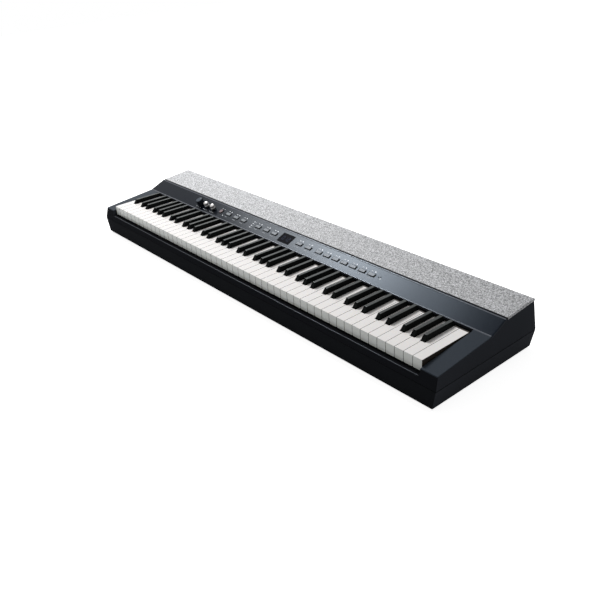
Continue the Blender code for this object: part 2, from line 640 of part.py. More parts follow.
def sharp_centres(octave_left):
    """Middles of the five sharps of an octave: the tails between two B-C or E-F joints are equally wide."""
    narrow, wide = 3 * KEY_PITCH / 5, 4 * KEY_PITCH / 7
    low = [octave_left + narrow * (n + 0.5) for n in (1, 3)]
    high = [octave_left + 3 * KEY_PITCH + wide * (n + 0.5) for n in (1, 3, 5)]
    return low + high


def octave_left(octave):
    return KEYS_LEFT + KEY_PITCH * (2 + 7 * octave)


def all_sharps():
    """Each sharp's middle and its octave; the lowest one stands before the first whole octave."""
    first = sharp_centres(octave_left(-1))[-1]
    found = [(first, 0)]
    for octave in range(OCTAVES):
        found += [(centre, octave) for centre in sharp_centres(octave_left(octave))]
    return found


def white_tooth(index, sharps, strip_front):
    """A white key and its lever in plan, from the strip's front edge round the key and back."""
    left = KEYS_LEFT + KEY_PITCH * index + KEY_CREVICE / 2
    right = KEYS_LEFT + KEY_PITCH * (index + 1) - KEY_CREVICE / 2
    slot = SHARP_BASE_WIDTH / 2 + SHARP_CREVICE
    tail_left = max([left] + [c + slot for c, _ in sharps if abs(c - left) < KEY_PITCH / 2])
    tail_right = min([right] + [c - slot for c, _ in sharps if abs(c - right) < KEY_PITCH / 2])
    middle = (tail_left + tail_right) / 2
    half_lever = min(LEVER_WIDTH, tail_right - tail_left) / 2
    lever = (middle - half_lever, middle + half_lever)
    front = KEY_FRONT_Y - OVERRUN
    head = KEY_FRONT_Y + HEAD_LENGTH
    rear = KEY_FRONT_Y + WHITE_LENGTH + MM
    points = [(lever[0], strip_front), (lever[0], rear), (tail_left, rear)]
    if tail_left > left:
        points += [(tail_left, head), (left, head)]
    points += [(left, front), (right, front)]
    if tail_right < right:
        points += [(right, head), (tail_right, head)]
    return points + [(tail_right, rear), (lever[1], rear), (lever[1], strip_front)]


def sharp_tooth(centre, strip_front):
    half, lever = SHARP_BASE_WIDTH / 2, LEVER_WIDTH / 2
    front = KEY_FRONT_Y + SHARP_SETBACK - OVERRUN
    rear = KEY_FRONT_Y + SHARP_SETBACK + SHARP_LENGTH + MM
    return [(centre - lever, strip_front), (centre - lever, rear), (centre - half, rear),
            (centre - half, front), (centre + half, front), (centre + half, rear),
            (centre + lever, rear), (centre + lever, strip_front)]


def pivot_tail(pivot_y, plate_bottom, plate_rear):
    """The lever, its arm and the round pivot strip, in side view, from the key's rear to its underside."""
    start = math.radians(120)
    steps = 6
    arc = []
    for step in range(steps + 1):
        turn = start - (start + math.pi) * step / steps
        arc.append((pivot_y + PIVOT_RADIUS * math.cos(turn), PIVOT_Z + PIVOT_RADIUS * math.sin(turn)))
    arm_rear = arc[0][0]
    arm_front = arm_rear - PIVOT_ARM
    arm_bottom = PIVOT_Z + ARM_CLEARANCE
    return ([(plate_rear, LEVER_TOP_Z), (arm_rear, LEVER_TOP_Z)] + arc
            + [(arc[-1][0], arm_bottom), (arm_front, arm_bottom), (arm_front, LEVER_BOTTOM_Z),
               (plate_rear - LEVER_ROOT, LEVER_BOTTOM_Z),
               (plate_rear - LEVER_ROOT - (plate_bottom - LEVER_BOTTOM_Z), plate_bottom)])


def white_profile(pivot_y):
    rear = KEY_FRONT_Y + WHITE_LENGTH
    under = KEY_TOP_Z - KEY_PLATE
    return ([(KEY_FRONT_Y, KEY_LOW_Z), (KEY_FRONT_Y, KEY_TOP_Z), (rear, KEY_TOP_Z)]
            + pivot_tail(pivot_y, under, rear)
            + [(KEY_FRONT_Y + KEY_LIP, under), (KEY_FRONT_Y + KEY_LIP, KEY_LOW_Z)])


def sharp_profile(pivot_y):
    front = KEY_FRONT_Y + SHARP_SETBACK
    rear = front + SHARP_LENGTH
    under = KEY_TOP_Z - SHARP_DEPTH
    crest = KEY_TOP_Z + SHARP_HEIGHT
    return ([(front, under), (front, KEY_TOP_Z + SHARP_NOSE),
             (front + SHARP_SLOPE, crest - 0.8 * MM), (front + SHARP_SLOPE + 2 * MM, crest),
             (rear, crest - SHARP_REAR_DROP)]
            + pivot_tail(pivot_y, under, rear))


def sharp_taper(centres):
    """The sharps seen from the front: each narrows upwards from a base as wide as the set."""
    foot = KEY_TOP_Z - SHARP_DEPTH / 2
    lean = (SHARP_BASE_WIDTH - SHARP_TOP_WIDTH) / 2 / SHARP_HEIGHT
    crest = KEY_TOP_Z + SHARP_HEIGHT + OVERRUN
    wide = SHARP_BASE_WIDTH / 2 + lean * (KEY_TOP_Z - foot)
    narrow = SHARP_TOP_WIDTH / 2 - lean * OVERRUN
    left, right = centres[0] - KEY_PITCH, centres[-1] + KEY_PITCH
    low = PIVOT_Z - PIVOT_RADIUS - OVERRUN
    points = [(left, low), (left, foot)]
    for centre in centres:
        points += [(centre - wide, foot), (centre - narrow, crest), (centre + narrow, crest),
                   (centre + wide, foot)]
    return points + [(right, foot), (right, low)]


def key_set(name, teeth, profile, pivot_y, material, taper=None):
    """A moulded set of keys: its side view cut to its plan, and tapered if it has sharps."""
    strip_rear = pivot_y + PIVOT_RADIUS + OVERRUN
    plan = [(teeth[0][0][0], strip_rear)]
    for tooth in teeth:
        plan += tooth
    plan.append((teeth[-1][-1][0], strip_rear))
    left = min(x for x, _ in plan) - OVERRUN
    right = max(x for x, _ in plan) + OVERRUN
    made = prism(name, profile, left, right, SIDE, PARTS, material)
    set_origin(made, ((left + right) / 2, pivot_y, PIVOT_Z))
    outline = prism(name + "_plan", plan, 0, CLOTH_REAR_Z + OVERRUN, PLAN, CUTTERS)
    combine(made, outline, "INTERSECT")
    if taper:
        front_view = prism(name + "_taper", taper, -CASE_DEPTH, CASE_DEPTH, FRONT, CUTTERS)
        combine(made, front_view, "INTERSECT")
    return made


def make_keys():
    sharps = all_sharps()
    sharp_pivot = KEY_FRONT_Y + SHARP_PIVOT
    sets = {"dfa": (sharp_pivot + PIVOT_SPACING, (1, 3, 5)),
            "cegb": (sharp_pivot + 2 * PIVOT_SPACING, (0, 2, 4, 6))}
    for octave in range(OCTAVES):
        for kind, (pivot_y, degrees) in sets.items():
            indices = [2 + 7 * octave + degree for degree in degrees]
            if octave == 0:
                indices.insert(0, 0 if kind == "dfa" else 1)
            if octave == OCTAVES - 1 and kind == "cegb":
                indices.append(WHITE_KEYS - 1)
            strip_front = pivot_y - PIVOT_RADIUS / 2 + 0.5 * MM
            teeth = [white_tooth(index, sharps, strip_front) for index in indices]
            key_set(f"white_keys_{kind}_{octave + 1}", teeth, white_profile(pivot_y), pivot_y, KEY_WHITE)
        centres = [centre for centre, home in sharps if home == octave]
        strip_front = sharp_pivot - PIVOT_RADIUS / 2 + 0.5 * MM
        teeth = [sharp_tooth(centre, strip_front) for centre in centres]
        key_set(f"black_keys_{octave + 1}", teeth, sharp_profile(sharp_pivot), sharp_pivot, KEY_BLACK,
                sharp_taper(centres))


def make_key_bed():
    def y(distance):
        return KEY_FRONT_Y + distance

    floor = BED_Z + WALL
    stop_rear = STOP_FRONT + STOP_DEPTH
    ledge_top = CONTACT_Z - GAP
    ledges = []
    for start in (CONTACT_FRONT, CONTACT_FRONT + CONTACT_DEPTH - CONTACT_LEDGE):
        ledges += [(y(start), floor), (y(start), ledge_top), (y(start + CONTACT_LEDGE), ledge_top),
                   (y(start + CONTACT_LEDGE), floor)]
    pivots = [SHARP_PIVOT + PIVOT_SPACING * n for n in range(3)]
    block = (pivots[0] - PIVOT_RADIUS - 5 * MM, pivots[-1] + PIVOT_RADIUS + 5 * MM)
    trough = PIVOT_RADIUS + GAP
    saddles = []
    for pivot in pivots:
        for step in range(9):
            turn = math.pi + math.pi * step / 8
            saddles.append((y(pivot) + trough * math.cos(turn), PIVOT_Z + trough * math.sin(turn)))
    top = [(y(BED_FRONT), BED_Z), (y(BED_FRONT), floor), (y(STOP_FRONT), floor), (y(STOP_FRONT), STOP_TOP_Z),
           (y(stop_rear), STOP_TOP_Z), (y(stop_rear), floor)] + ledges + [
               (y(block[0]), floor), (y(block[0]), PIVOT_Z)] + saddles + [
               (y(block[1]), PIVOT_Z), (y(block[1]), BED_Z)]
    roof = PIVOT_Z - trough - WALL
    under = [(y(block[1]) - WALL, BED_Z), (y(block[1]) - WALL, roof), (y(block[0]) + WALL, roof),
             (y(block[0]) + WALL, BED_Z), (y(stop_rear) - WALL, BED_Z),
             (y(stop_rear) - WALL, STOP_TOP_Z - WALL), (y(STOP_FRONT) + WALL, STOP_TOP_Z - WALL),
             (y(STOP_FRONT) + WALL, BED_Z)]
    half = KEYS_WIDTH / 2 - BED_MARGIN
    prism("key_chassis", top + under, -half, half, SIDE, PARTS, INNER_PLASTIC)
    box("key_felt", (-half, y(STOP_FRONT), STOP_TOP_Z + GAP),
        (half, y(stop_rear), STOP_TOP_Z + GAP + FELT_THICKNESS), PLAN, PARTS, FELT_GREY)
    contacts = box("contact_board", (-half, y(CONTACT_FRONT), CONTACT_Z),
                   (half, y(CONTACT_FRONT + CONTACT_DEPTH), CONTACT_Z + BOARD), PLAN, PARTS, BOARD_GREEN)
    middle = y(CONTACT_FRONT + CONTACT_DEPTH / 2)
    strip = box("contact_strip", (-half + WALL, middle - CONTACT_STRIP_WIDTH / 2, CONTACT_Z + BOARD / 2),
                (half - WALL, middle + CONTACT_STRIP_WIDTH / 2, CONTACT_Z + BOARD + CONTACT_STRIP_HEIGHT),
                PLAN, CUTTERS)
    combine(contacts, strip, "UNION")


# Inside the rear of the case, and below it

def make_sockets():
    plate_rear = REAR_Y - SOCKET_PLATE_RECESS - BASE_REAR_INSET / 2
    plate_front = plate_rear - SOCKET_PLATE_THICKNESS
    plate = box("socket_plate", (SOCKET_PLATE_X - SOCKET_PLATE_WIDTH / 2, plate_front,
                                 SOCKET_Z - SOCKET_PLATE_HEIGHT / 2),
                (SOCKET_PLATE_X + SOCKET_PLATE_WIDTH / 2, plate_rear,
                 SOCKET_Z + SOCKET_PLATE_HEIGHT / 2), PLAN, PARTS, CASE_BLACK)
    mouth = plate_front - GAP
    board = box("socket_board", (SOCKET_PLATE_X - SOCKET_PLATE_WIDTH / 2 + WALL,
                                 mouth - SOCKET_BOARD_DEPTH, BED_Z),
                (SOCKET_PLATE_X + SOCKET_PLATE_WIDTH / 2 - WALL, mouth, BED_Z + BOARD), PLAN, PARTS,
                BOARD_GREEN)
    for number, (offset, radius) in enumerate(ROUND_SOCKETS, 1):
        x = SOCKET_PLATE_X + offset
        half = radius + SOCKET_WALL
        body = box(f"socket_body_{number}", (x - half, mouth - SOCKET_DEPTH - WALL, BED_Z + BOARD / 2),
                   (x + half, mouth, SOCKET_Z + half), PLAN, CUTTERS)
        combine(board, body, "UNION")
        bore = rod(f"socket_bore_{number}", (-x, SOCKET_Z), radius, mouth - SOCKET_DEPTH, mouth + OVERRUN, 16,
                   REARWARD, CUTTERS)
        combine(board, bore)
        hole = rod(f"socket_hole_{number}", (-x, SOCKET_Z), radius, plate_front - OVERRUN / 6,
                   plate_rear + OVERRUN, 16, REARWARD, CUTTERS)
        combine(plate, hole)
    x, half = SOCKET_PLATE_X + USB_X, USB_SIZE / 2
    shell = half + SOCKET_WALL / 2
    combine(board, box("usb_body", (x - shell, mouth - SOCKET_DEPTH - WALL, BED_Z + BOARD / 2),
                       (x + shell, mouth, SOCKET_Z + shell), PLAN, CUTTERS), "UNION")
    combine(board, box("usb_bore", (x - half, mouth - SOCKET_DEPTH, SOCKET_Z - half),
                       (x + half, mouth + OVERRUN, SOCKET_Z + half), PLAN, CUTTERS))
    combine(plate, box("usb_hole", (x - half, plate_front - OVERRUN, SOCKET_Z - half),
                       (x + half, plate_rear + OVERRUN, SOCKET_Z + half), PLAN, CUTTERS))


def make_main_board():
    rear = REAR_Y - MAIN_BOARD_INSET
    front = rear - MAIN_BOARD_DEPTH
    board = box("main_board", (MAIN_BOARD_X[0], front, BED_Z), (MAIN_BOARD_X[1], rear, BED_Z + BOARD),
                PLAN, PARTS, BOARD_GREEN)
    chips = (((-250, 12), (28, 28), 3), ((-150, 18), (20, 20), 3), ((-60, 12), (30, 26), 14))
    for number, ((x, inset_y), (width, length), height) in enumerate(chips, 1):
        low = (x * MM, front + inset_y * MM, BED_Z + BOARD / 2)
        high = ((x + width) * MM, front + (inset_y + length) * MM, BED_Z + BOARD + height * MM)
        combine(board, box(f"main_chip_{number}", low, high, PLAN, CUTTERS), "UNION")


def make_feet():
    top = FOOT_HEIGHT - GAP
    profile = [(0, top), (FOOT_RADIUS, top), (FOOT_RADIUS, FOOT_EDGE), (FOOT_RADIUS - FOOT_EDGE, 0), (0, 0)]
    for end, side in (("front", -1), ("rear", 1)):
        for hand, sign in (("left", -1), ("right", 1)):
            foot = turned(f"foot_{end}_{hand}", profile, 24, RUBBER)
            foot.location = (sign * FOOT_X, side * FOOT_Y, 0)


make_bottom_case()
make_top_case()
make_control_panel()
make_grille()
make_speakers()
make_control_board()
make_buttons()
make_knobs()
make_display()
make_keys()
make_key_bed()
make_sockets()
make_main_board()
make_feet()
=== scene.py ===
import json
import math

import bmesh
import bpy
from mathutils import Matrix, Vector


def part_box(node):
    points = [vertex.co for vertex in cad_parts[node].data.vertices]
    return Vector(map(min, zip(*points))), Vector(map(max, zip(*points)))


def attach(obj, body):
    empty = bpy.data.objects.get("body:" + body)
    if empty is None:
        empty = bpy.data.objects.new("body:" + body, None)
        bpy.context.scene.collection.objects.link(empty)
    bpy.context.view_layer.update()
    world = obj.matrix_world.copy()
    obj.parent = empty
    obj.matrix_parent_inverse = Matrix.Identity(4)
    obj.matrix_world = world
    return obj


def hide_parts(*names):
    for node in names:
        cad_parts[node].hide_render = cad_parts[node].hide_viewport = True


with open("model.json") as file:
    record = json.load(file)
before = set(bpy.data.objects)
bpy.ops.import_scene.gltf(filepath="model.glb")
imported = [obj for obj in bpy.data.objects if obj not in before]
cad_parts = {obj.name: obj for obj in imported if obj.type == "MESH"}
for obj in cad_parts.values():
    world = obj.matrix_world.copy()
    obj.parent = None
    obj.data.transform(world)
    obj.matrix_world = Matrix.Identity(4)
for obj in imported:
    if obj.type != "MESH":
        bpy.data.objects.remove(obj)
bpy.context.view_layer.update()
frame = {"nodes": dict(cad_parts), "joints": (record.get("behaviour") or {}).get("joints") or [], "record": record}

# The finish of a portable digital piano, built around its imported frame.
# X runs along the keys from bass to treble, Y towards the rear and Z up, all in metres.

MM = 0.001
NODES = frame["nodes"]
RECORD = frame["record"]

# Camera, from the photograph
CAMERA_AT = (1.35449, -1.00404, 0.83624)
CAMERA_TURN = (61.6806, 3.7408, 49.7628)
CAMERA_LENS = 42.939
SENSOR = 36

# Keyboard
WHITE_KEYS = 52
OCTAVES = 7
KEY_CREVICE = 1.0 * MM
KEY_FRONT_HEIGHT = 25 * MM
KEY_PLATE = 14 * MM
KEY_LIP = 3 * MM
KEY_CAP = 2.2 * MM
KEY_EDGE = 0.5 * MM
KEY_FRONT_CORNER = 1.1 * MM
KEY_LOW_CORNER = 2.4 * MM
HEAD_LENGTH = 50 * MM
RAIL_TOP = 62 * MM
# The white caps end a little before the rear of the keys, whose dark levers go on behind them
WHITE_LENGTH = 137 * MM
SHARP_HEIGHT = 12 * MM
SHARP_BASE_WIDTH = 12.2 * MM
SHARP_TOP_WIDTH = 8.2 * MM
SHARP_CREVICE = 0.8 * MM
SHARP_SLOPE = 7 * MM
SHARP_NOSE = 1.5 * MM
SHARP_DEPTH = 14 * MM
SHARP_LENGTH = 86.8 * MM
SHARP_REAR_DROP = 1.4 * MM
SHARP_EDGE = 2.4 * MM

# Panel
BUTTONS = [f"button_{number:02d}" for number in range(1, 17)]
KNOBS = ("volume_knob", "bass_knob", "treble_knob")
BUTTON_DEPTH = 8.6 * MM
KNOB_WAIST = 0.29
WINDOW_THICKNESS = 2 * MM
PRINT_LIFT = 0.06 * MM


# Node trees

class Signal:
    """A value in a node tree. Arithmetic on it adds Math nodes."""

    def __init__(self, graph, socket):
        self.graph = graph
        self.socket = socket

    def math(self, operation, *others):
        return self.graph.math(operation, self, *others)

    def __add__(self, other):
        return self.math("ADD", other)

    def __sub__(self, other):
        return self.math("SUBTRACT", other)

    def __rsub__(self, other):
        return self.graph.math("SUBTRACT", other, self)

    def __mul__(self, other):
        return self.math("MULTIPLY", other)

    def __truediv__(self, other):
        return self.math("DIVIDE", other)

    def __mod__(self, other):
        return self.math("FLOORED_MODULO", other)

    def __gt__(self, other):
        return self.math("GREATER_THAN", other)

    __radd__ = __add__
    __rmul__ = __mul__

    def between(self, low, high):
        """0 at low and below, 1 at high and above, smooth in between."""
        settings = {"interpolation_type": "SMOOTHSTEP"}
        return self.graph.node("ShaderNodeMapRange", settings, {"Value": self, "From Min": low, "From Max": high})

    def floor(self):
        return self.math("FLOOR")


class Graph:
    """A node tree that is built by calls."""

    def __init__(self, tree):
        self.tree = tree

    def node(self, kind, settings=None, inputs=None, output=0):
        """Adds a node of a type, with its settings set first and then its inputs; returns one output."""
        made = self.tree.nodes.new(kind)
        for name, value in (settings or {}).items():
            if name == "stops":
                ramp = made.color_ramp
                while len(ramp.elements) < len(value):
                    ramp.elements.new(0.5)
                for element, (position, colour) in zip(ramp.elements, value):
                    element.position = position
                    element.color = (*colour, 1)
            else:
                setattr(made, name, value)
        named = inputs if isinstance(inputs, dict) else dict(enumerate(inputs or []))
        for place, value in named.items():
            self.put(value, made.inputs[place])
        return Signal(self, made.outputs[output])

    def put(self, value, socket):
        if isinstance(value, Signal):
            self.tree.links.new(value.socket, socket)
        elif socket.type == "RGBA" and len(value) == 3:
            socket.default_value = (*value, 1)
        else:
            socket.default_value = value

    def math(self, operation, *operands):
        return self.node("ShaderNodeMath", {"operation": operation}, list(operands))

    def join(self, x, y, z=0.0):
        return self.node("ShaderNodeCombineXYZ", None, [x, y, z])

    def split(self, vector):
        return [self.node("ShaderNodeSeparateXYZ", None, [vector], axis) for axis in range(3)]


class Finish(Graph):
    """A material on the Principled shader; constants sit on the shader's own sockets."""

    def __init__(self, name, constants):
        self.material = bpy.data.materials.new(name)
        self.material.use_nodes = True
        super().__init__(self.material.node_tree)
        self.shader = self.tree.nodes["Principled BSDF"]
        for socket, value in constants.items():
            self.feed(socket, value)

    def feed(self, socket, value):
        self.put(value, self.shader.inputs[socket])

    def place(self, stretch=(1, 1, 1)):
        """Object coordinates, multiplied along each axis."""
        spot = self.node("ShaderNodeTexCoord", output="Object")
        return self.node("ShaderNodeVectorMath", {"operation": "MULTIPLY"}, [spot, stretch])

    def noise(self, size, stretch=(1, 1, 1), detail=3, roughness=0.5, at=None):
        """Noise whose blotches are about size across, in metres."""
        return self.node("ShaderNodeTexNoise", None,
                         {"Vector": at or self.place(stretch), "Scale": 1 / size, "Detail": detail,
                          "Roughness": roughness})

    def mix(self, share, first, second):
        return self.node("ShaderNodeMix", {"data_type": "RGBA"}, {0: share, 6: first, 7: second}, 2)

    def shade(self, colour, amount, share):
        """The colour, darker by amount where share is 0 and lighter by it where share is 1."""
        dark = tuple(c * (1 - amount) for c in colour)
        light = tuple(min(1, c * (1 + amount)) for c in colour)
        return self.mix(share, dark, light)

    def bump(self, height, depth, strength=1.0):
        settings = {"Height": height, "Distance": depth, "Strength": strength}
        self.feed("Normal", self.node("ShaderNodeBump", None, settings))


# Finishes

COOL = (0.57, 0.77, 1.0)


def moulded(name, colour, roughness, specular=0.5, grain=0.45 * MM, depth=0.03 * MM, dust=0.02,
            wear=0.12):
    """Moulded plastic with a fine leather-like grain, faint handling marks and a little dust."""
    made = Finish(name, {"Specular IOR Level": specular, "Specular Tint": (*COOL, 1)})
    pores = made.noise(grain, detail=2, roughness=0.6)
    cloudy = made.noise(60 * MM, detail=3)
    rubbed = made.noise(18 * MM, (1, 2.2, 1), detail=4, roughness=0.65)
    base = made.shade(colour, 0.10, cloudy * 0.7 + pores * 0.3)
    specks = made.noise(1.3 * MM, detail=1).between(0.66, 0.72) * rubbed.between(0.58, 0.8)
    made.feed("Base Color", made.mix(specks * dust * 4, base, (0.42, 0.42, 0.41)))
    made.feed("Roughness", roughness + (rubbed - 0.5) * wear + (pores - 0.5) * wear * 0.5)
    made.bump(pores, depth, 0.5)
    return made.material


def key_white(name, deep, pale):
    """Glossy white key plastic between two near tones, with hair scratches and dull finger marks."""
    made = Finish(name, {"Specular IOR Level": 0.22, "Subsurface Weight": 0.04,
                         "Subsurface Radius": (0.002, 0.0015, 0.001)})
    cloudy = made.noise(35 * MM, detail=3)
    hair = made.noise(0.5 * MM, (1, 0.04, 1), detail=2)
    marks = made.noise(14 * MM, (1, 0.7, 1), detail=4, roughness=0.6).between(0.5, 0.75)
    made.feed("Base Color", made.mix(cloudy, deep, pale))
    made.feed("Roughness", 0.24 + marks * 0.06 + (hair - 0.5) * 0.04)
    made.bump(hair, 0.012 * MM, 0.12)
    return made.material


def key_core():
    """The dark stained body below the white caps, with grain along the key; also laid on the keys' side walls as
    painted shade in the crevices between them.
    """
    made = Finish("key_core", {"Specular IOR Level": 0.2})
    fibres = made.noise(1.6 * MM, (1, 0.05, 0.6), detail=5, roughness=0.6)
    rings = made.noise(6 * MM, (1, 0.06, 1.4), detail=2)
    made.feed("Base Color", made.mix(fibres * 0.6 + rings * 0.4, (0.011, 0.009, 0.007), (0.034, 0.027, 0.021)))
    made.feed("Roughness", 0.6 + (fibres - 0.5) * 0.2)
    made.bump(fibres, 0.06 * MM, 0.4)
    return made.material


def key_black(name, specular, roughness, depth):
    """Satin black of the sharps with a fine grain that runs along the key, polished by fingers in places."""
    made = Finish(name, {"Specular IOR Level": specular, "Specular Tint": (0.86, 0.96, 0.95, 1)})
    grain = made.noise(0.6 * MM, (1, 0.06, 1), detail=4, roughness=0.6)
    polish = made.noise(22 * MM, (1, 0.6, 1), detail=3).between(0.45, 0.75)
    made.feed("Base Color", made.shade(depth, 0.4, grain))
    made.feed("Roughness", roughness - polish * 0.08 + (grain - 0.5) * 0.12)
    made.bump(grain, 0.03 * MM, 0.5)
    return made.material


def speaker_cloth():
    """Plain weave of mottled yarns: each thread is dark or light in short dashes."""
    made = Finish("speaker_cloth", {"IOR": 1.8, "Specular IOR Level": 0.5, "Sheen Weight": 0.5,
                                   "Sheen Roughness": 0.3, "Sheen Tint": (0.93, 0.93, 1.0, 1)})
    uv = made.node("ShaderNodeUVMap", {"uv_map": "cloth"})
    u, v, _ = made.split(uv)
    thread, dash = 1.2 * MM, 3.0 * MM
    warp_number, weft_number = (u / thread).floor(), (v / thread).floor()
    warp_on_top = (warp_number + weft_number) % 2

    def yarn(number, along, shift):
        """A thread's lightness, which changes in dashes along it."""
        cell = made.join(number, (along / dash + number * shift).floor(), shift)
        return made.node("ShaderNodeTexWhiteNoise", {"noise_dimensions": "3D"}, [cell])

    def crown(across, along):
        """A thread's height where it rises over the one that it crosses."""
        round_side = (across / thread % 1 - 0.5).math("ABSOLUTE")
        rise = (along / thread % 1 - 0.5).math("ABSOLUTE")
        return 1 - round_side * round_side * 3 - rise * rise * 1.6

    warp, weft = yarn(warp_number, v, 0.37), yarn(weft_number, u, 0.61)
    shade = warp * warp_on_top + weft * (1 - warp_on_top)
    height = crown(u, v) * warp_on_top + crown(v, u) * (1 - warp_on_top)
    speck = made.node("ShaderNodeTexWhiteNoise", {"noise_dimensions": "3D"},
                      [made.join((u / (2 * thread)).floor(), (v / (2 * thread)).floor(), 0.5)])
    patch = made.noise(3.4 * MM, detail=2, at=made.join(u, v))
    fibre = made.noise(0.35 * MM, detail=2, at=made.join(u, v))
    tone = shade * 0.35 + speck * 0.65 + (patch - 0.5) * 0.9 + (fibre - 0.5) * 0.3
    stops = [(0.0, (0.045, 0.05, 0.05)), (0.26, (0.09, 0.098, 0.10)), (0.45, (0.305, 0.31, 0.325)),
             (0.7, (0.575, 0.58, 0.605)), (1.0, (0.77, 0.775, 0.81))]
    colour = made.node("ShaderNodeValToRGB", {"stops": stops}, [tone])
    made.feed("Base Color", made.mix(height.between(0.1, 0.6), (0.05, 0.05, 0.05), colour))
    made.feed("Roughness", 0.5 + fibre * 0.1)
    made.bump(height + fibre * 0.4, 0.22 * MM, 0.7)
    return made.material


def plated(name, colour, roughness):
    """Bright plating, with hair-fine polishing marks and a few dull spots."""
    made = Finish(name, {"Metallic": 1.0})
    marks = made.noise(0.25 * MM, (1, 1, 0.1), detail=2)
    dull = made.noise(4 * MM, detail=3)
    made.feed("Base Color", made.shade(colour, 0.05, dull))
    made.feed("Roughness", roughness + (marks - 0.5) * 0.1 + dull.between(0.5, 0.8) * 0.08)
    made.bump(marks, 0.008 * MM, 0.3)
    return made.material


def window():
    """Glossy black display window with a faint warmer panel behind it and finger marks."""
    made = Finish("window", {"Specular IOR Level": 0.003})
    marks = made.noise(9 * MM, detail=4, roughness=0.6)
    made.feed("Base Color", made.mix(made.noise(12 * MM), (0.003, 0.0035, 0.006), (0.005, 0.0055, 0.009)))
    made.feed("Roughness", 0.12 + marks.between(0.5, 0.8) * 0.1)
    made.bump(marks, 0.01 * MM, 0.1)
    return made.material


def glow(name, colour, strength, specular=0.4):
    """A small lamp's lens or a display segment: frosted, and faintly lit."""
    made = Finish(name, {"Emission Strength": strength, "Specular IOR Level": specular})
    frost = made.noise(0.4 * MM, detail=2)
    made.feed("Base Color", made.shade(colour, 0.12, frost))
    made.feed("Emission Color", made.shade(colour, 0.08, frost))
    made.feed("Roughness", 0.35 + frost * 0.2)
    made.bump(frost, 0.01 * MM, 0.3)
    return made.material


def ink(name, colour):
    """Printed ink, slightly uneven."""
    made = Finish(name, {"Specular IOR Level": 0.3})
    patchy = made.noise(0.5 * MM, detail=3)
    made.feed("Base Color", made.shade(colour, 0.10, patchy))
    made.feed("Roughness", 0.5 + patchy * 0.15)
    made.bump(patchy, 0.01 * MM, 0.3)
    return made.material


def circuit_board():
    """Green lacquer over copper tracks, with tinned pads."""
    made = Finish("circuit_board", {"Specular IOR Level": 0.5})
    x, y, z = made.split(made.place())
    lanes = (made.noise(7 * MM, detail=1) * 9 % 1).between(0.46, 0.5)
    pads = made.node("ShaderNodeTexVoronoi", {"feature": "DISTANCE_TO_EDGE"},
                     {"Vector": made.place(), "Scale": 1 / (4 * MM)})
    tinned = pads.between(0.42, 0.44)
    lacquer = made.mix(lanes, (0.012, 0.075, 0.032), (0.02, 0.13, 0.055))
    made.feed("Base Color", made.mix(tinned, lacquer, (0.55, 0.55, 0.53)))
    made.feed("Metallic", tinned * 0.9)
    made.feed("Roughness", 0.34 + made.noise(2 * MM) * 0.1)
    made.bump(lanes + tinned, 0.03 * MM, 0.4)
    return made.material


def felt(name, colour):
    made = Finish(name, {"Sheen Weight": 0.4, "Specular IOR Level": 0.1})
    fibres = made.noise(0.7 * MM, (1, 0.4, 1), detail=6, roughness=0.75)
    made.feed("Base Color", made.shade(colour, 0.45, fibres))
    made.feed("Roughness", 0.9 + fibres * 0.08)
    made.bump(fibres, 0.25 * MM, 0.8)
    return made.material


def rubber():
    made = Finish("rubber", {"Specular IOR Level": 0.25})
    dust = made.noise(5 * MM, detail=5, roughness=0.7)
    made.feed("Base Color", made.mix(dust.between(0.45, 0.85), (0.012, 0.012, 0.012), (0.05, 0.048, 0.045)))
    made.feed("Roughness", 0.82 + dust * 0.12)
    made.bump(made.noise(0.6 * MM, detail=3), 0.05 * MM, 0.5)
    return made.material


def speaker_black():
    """Black lacquered basket and ribbed paper cone."""
    made = Finish("speaker_black", {"Specular IOR Level": 0.35})
    pulp = made.noise(0.9 * MM, detail=5, roughness=0.7)
    made.feed("Base Color", made.mix(pulp, (0.012, 0.012, 0.013), (0.035, 0.035, 0.037)))
    made.feed("Roughness", 0.5 + pulp * 0.3)
    made.bump(pulp, 0.1 * MM, 0.5)
    return made.material


CASE_BLUE = moulded("case_blue_grey", (0.031, 0.038, 0.048), 0.42, 0.05)
# Copies of the case plastic chosen by which way a face looks: the fronts and low faces darker as painted shade, the
# ends lighter than the fronts as painted light.
CASE_FRONT_SHADE = moulded("case_front", (0.0125, 0.0135, 0.016), 0.5, 0.002)
CASE_SIDE_LIGHT = moulded("case_side", (0.035, 0.038, 0.045), 0.5, 0.002)
CASE_BLACK = moulded("case_black", (0.012, 0.013, 0.015), 0.55, 0.002)
# Real black for the end dots, and painted shade on the buttons' sides, in the rims round the buttons and on the
# ledge strip.
DEEP_BLACK_AND_SHADE = moulded("deep_black", (0.004, 0.0042, 0.005), 0.6, 0.002)
PANEL_BLUE = moulded("panel_blue_grey", (0.005, 0.0068, 0.0115), 0.17, 0.088, 0.3 * MM, 0.008 * MM, 0.01, 0.02)
# Light grey for beads that stand for edge highlights: painted highlight.
HIGHLIGHT_BEAD_GREY = moulded("bead_grey", (0.10, 0.105, 0.12), 0.2, 0.13, 0.3 * MM, 0.006 * MM, 0.01, 0.03)
BUTTON_FACE = moulded("button_face", (0.23, 0.24, 0.252), 0.36, 0.125, 0.3 * MM, 0.01 * MM)
BUTTON_ROSE = moulded("button_rose", (0.19, 0.135, 0.14), 0.36, 0.125, 0.3 * MM, 0.01 * MM)
KNOB_BLACK = moulded("knob_black", (0.008, 0.009, 0.011), 0.35, 0.1, 0.3 * MM, 0.01 * MM)
KNOB_TOP = moulded("knob_top", (0.045, 0.055, 0.07), 0.3, 0.12, 0.25 * MM, 0.008 * MM)
INNER = moulded("inner_plastic", (0.03, 0.03, 0.03), 0.6, 0.3)
KEY_WHITE = key_white("key_white", (0.865, 0.842, 0.828), (0.885, 0.862, 0.848))
